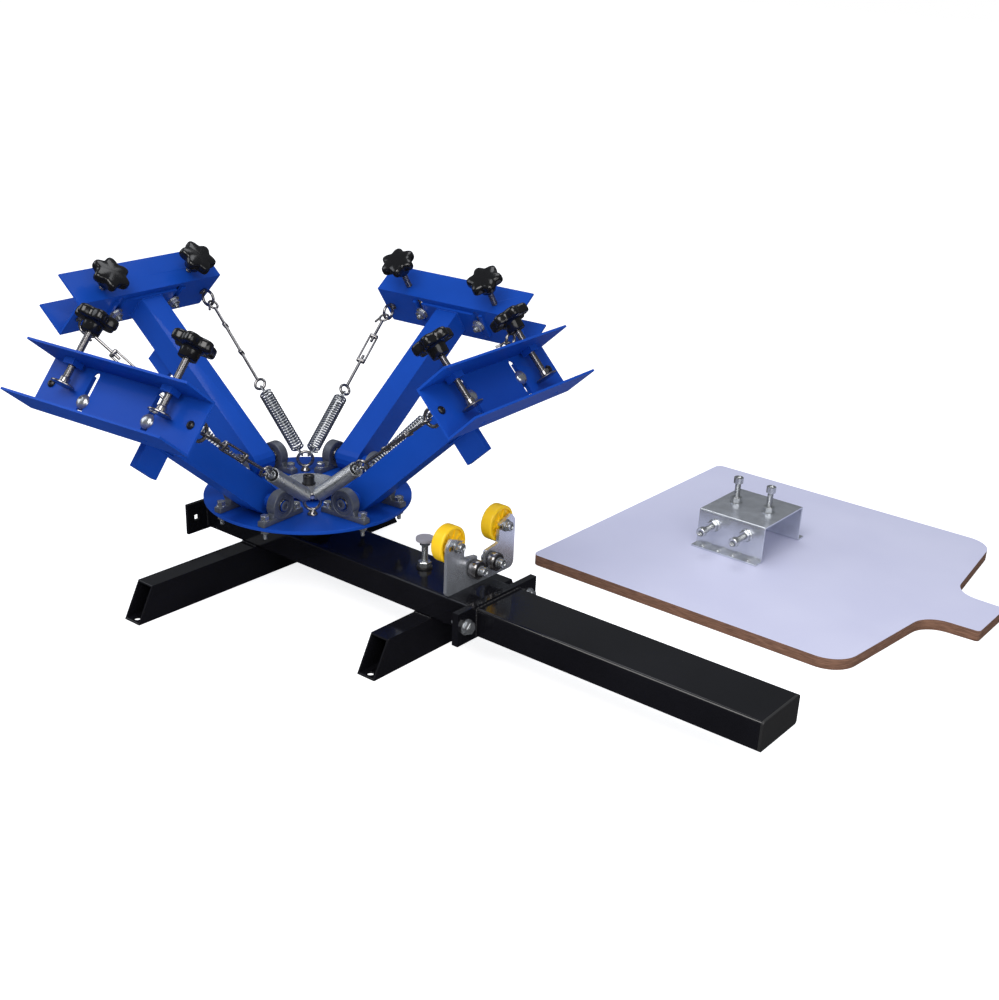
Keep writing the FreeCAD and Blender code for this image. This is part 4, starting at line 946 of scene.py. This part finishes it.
# Weld beads: the tube of each arm is welded round its head plate and its tab,
# and the two halves of the beam to their flanges. Rippled steel under paint.
def weld_bead(name, start, finish_at, finish, thick=0.0016):
    """A row of overlapping flattened drops along a seam."""
    first = Vector(start)
    way = Vector(finish_at) - first
    drops = max(3, int(way.length / 0.0022))
    deselect_all()
    bpy.ops.mesh.primitive_uv_sphere_add(segments=8, ring_count=5, radius=thick)
    drop = start_piece("weld_drop", finish)
    bpy.ops.object.shade_smooth()
    places = [Matrix.Translation(first + way * (k / (drops - 1)))
              @ Matrix.Scale(1.0 + 0.12 * math.sin(k * 2.1), 4) for k in range(drops)]
    return spread(name, drop, places)


half_tube = 0.02
for arm in arm_place:
    beads = []
    for y0, z0, y1, z1 in ((-1, 1, 1, 1), (-1, -1, 1, -1), (-1, -1, -1, 1), (1, -1, 1, 1)):
        beads.append(weld_bead("arm_bead", (0.2932, y0 * half_tube, z0 * half_tube),
                               (0.2932, y1 * half_tube, z1 * half_tube), blue_coat))
    for y in (-0.009, 0.009):
        beads.append(weld_bead("tab_bead", (0.191, y, -0.0215), (0.239, y, -0.0215),
                               blue_coat, 0.0012))
    beads = set_in(join_pieces(arm + "_weld_beads", beads), arm_place[arm])
    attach(beads, arm)
beam_beads = []
for x in (-0.093, flange_back, flange_front):
    for side in (-1, 1):
        beam_beads.append(weld_bead("beam_bead", (x, side * 0.046, 0.0525),
                                    (x, side * 0.046, 0.0925), black_coat, 0.0020))
    beam_beads.append(weld_bead("beam_bead", (x, -0.044, beam_top), (x, 0.044, beam_top),
                                black_coat, 0.0018))
for foot_x in (0.0, 0.347):
    for side in (-1, 1):
        beam_beads.append(weld_bead("foot_bead", (foot_x - 0.014, side * 0.0462, 0.052),
                                    (foot_x + 0.014, side * 0.0462, 0.052), black_coat, 0.0018))
beam_beads = join_pieces("beam_weld_beads", beam_beads)
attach(beam_beads, "base")

# Spring chains: on each side of an arm an extension spring hooks on a ring bolt
# of the disc, and a turnbuckle links it to the ring bolt of the clamp. The
# springs are stretched open, but for the two in front, whose turns lie close.
def round_bar(radius, length, place, finish, sides=16):
    bar = turned("round_bar", [(0, radius * 0.8), (radius * 0.2, radius),
                               (length - radius * 0.2, radius), (length, radius * 0.8)],
                 finish, sides, 40)
    return set_in(bar, place)


spring_wire = plated("spring_wire", (0.44, 0.46, 0.48), 0.24, 0.34, 90, 0.86)
spring_radius = 0.0105
spring_body = 0.110
loop_radius = 0.0065
loop_wire = 0.00118
rod_eye = 0.0080
rod_hook = 0.0074
half_buckle = 0.032
close_wound = (("arm1", -1), ("arm4", 1))
up = Vector((0, 0, 1))
for arm, (quarter, lift) in arm_pose.items():
    swing = disc_index + math.radians(quarter)
    rise = math.radians(lift)
    out = Vector((math.cos(swing), math.sin(swing), 0))
    across = Vector((-math.sin(swing), math.cos(swing), 0))
    arm_way = out * math.cos(rise) + up * math.sin(rise)
    arm_up = up * math.cos(rise) - out * math.sin(rise)
    pivot = hub + out * pivot_out + up * (disc_top + pivot_high)
    coils = []
    buckles = []
    for side in (-1, 1):
        corner = (out + across * side).normalized()
        low = hub + corner * post_out + up * (disc_top + post_high)
        high = pivot + arm_way * eye_out + across * (side * eye_side) + arm_up * eye_level
        aim = (high - low).normalized()
        reach = (aim - corner * aim.dot(corner)).normalized()
        start = low + reach * ring_round
        tangent = corner.cross(reach)
        back = (across * aim.dot(across) - aim).normalized()
        chain = high + back * ring_round - start
        run = chain.normalized()
        flat = (tangent - run * tangent.dot(run)).normalized()
        edge_way = flat.cross(run)
        hook_flat = across.cross(back)
        loop_at = loop_radius - 0.0041
        body_low = loop_at + loop_radius
        body_high = body_low + spring_body
        wire, turns = (0.00118, 45) if (arm, side) in close_wound else (0.00140, 23)
        coils.append(set_in(coil("spring_coil", spring_radius - wire, wire, spring_body, turns,
                                 spring_wire), toward(start + run * body_low, run, flat)))
        for at in (loop_at, body_high + loop_radius):
            coils.append(set_in(wire_ring("spring_loop", loop_radius, loop_wire, spring_wire),
                                toward(start + run * at, flat, run)))
        for at, way in ((body_low + 0.0015, 1), (body_high - 0.0015, -1)):
            turn_end = start + run * at
            coils.append(set_in(wire_ring("spring_end", 0.0046, loop_wire, spring_wire),
                                toward(turn_end, run, flat)))
            coils.append(round_bar(loop_wire, 0.0085,
                                   toward(turn_end - flat * 0.0008 + edge_way * 0.0046,
                                          -run * way * 0.25 - edge_way * 0.9, flat),
                                   spring_wire, 8))
        eye_at = body_high + 0.0093 + rod_eye
        hook_at = chain.length - 0.0026
        lower_end = eye_at + rod_eye
        upper_end = hook_at - rod_hook
        middle = (lower_end + upper_end) / 2 + 0.010
        body_a = middle - half_buckle
        body_b = middle + half_buckle
        if side > 0:
            wide_way = run.cross(looking).normalized()
        else:
            wide_way = (looking - run * looking.dot(run)).normalized()
        buckles.append(set_in(wire_ring("rod_eye", rod_eye, 0.0022, bright_steel),
                              toward(start + run * eye_at, edge_way, run)))
        buckles.append(set_in(wire_ring("rod_hook", rod_hook, 0.0019, bright_steel),
                              toward(start + run * hook_at, hook_flat, run)))
        hook_side = hook_flat.cross(run).normalized()
        buckles.append(round_bar(0.0019, 0.0110,
                                 toward(start + run * (hook_at - 0.0010) + hook_side * 0.0072,
                                        hook_side * 0.45 - run * 0.9, run), bright_steel, 12))
        for rod_start, rod_end in ((lower_end, body_a + 0.016), (body_b - 0.016, upper_end)):
            buckles.append(round_bar(0.0023, rod_end - rod_start,
                                     toward(start + run * rod_start, run, flat), bright_steel))
        for step in (-1, 1):
            side_bar = start + run * (body_a + 0.003) + wide_way * (step * 0.0056)
            buckles.append(round_bar(0.0017, 0.058, toward(side_bar, run, wide_way),
                                     bright_steel, 12))
        for at in (body_a, body_b - 0.008):
            boss = rounded_box("buckle_boss", (0.0142, 0.0068, 0.0064), (0, 0, 0.004), 0.0022, 4,
                               bright_steel, smooth=50)
            buckles.append(set_in(boss, toward(start + run * at, run, wide_way)))
    spring_pair = join_pieces(arm + "_coil_springs", coils)
    buckle_pair = join_pieces(arm + "_link_buckles", buckles)
    for piece in (spring_pair, buckle_pair):
        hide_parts(arm + "_springs")
        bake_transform(piece)
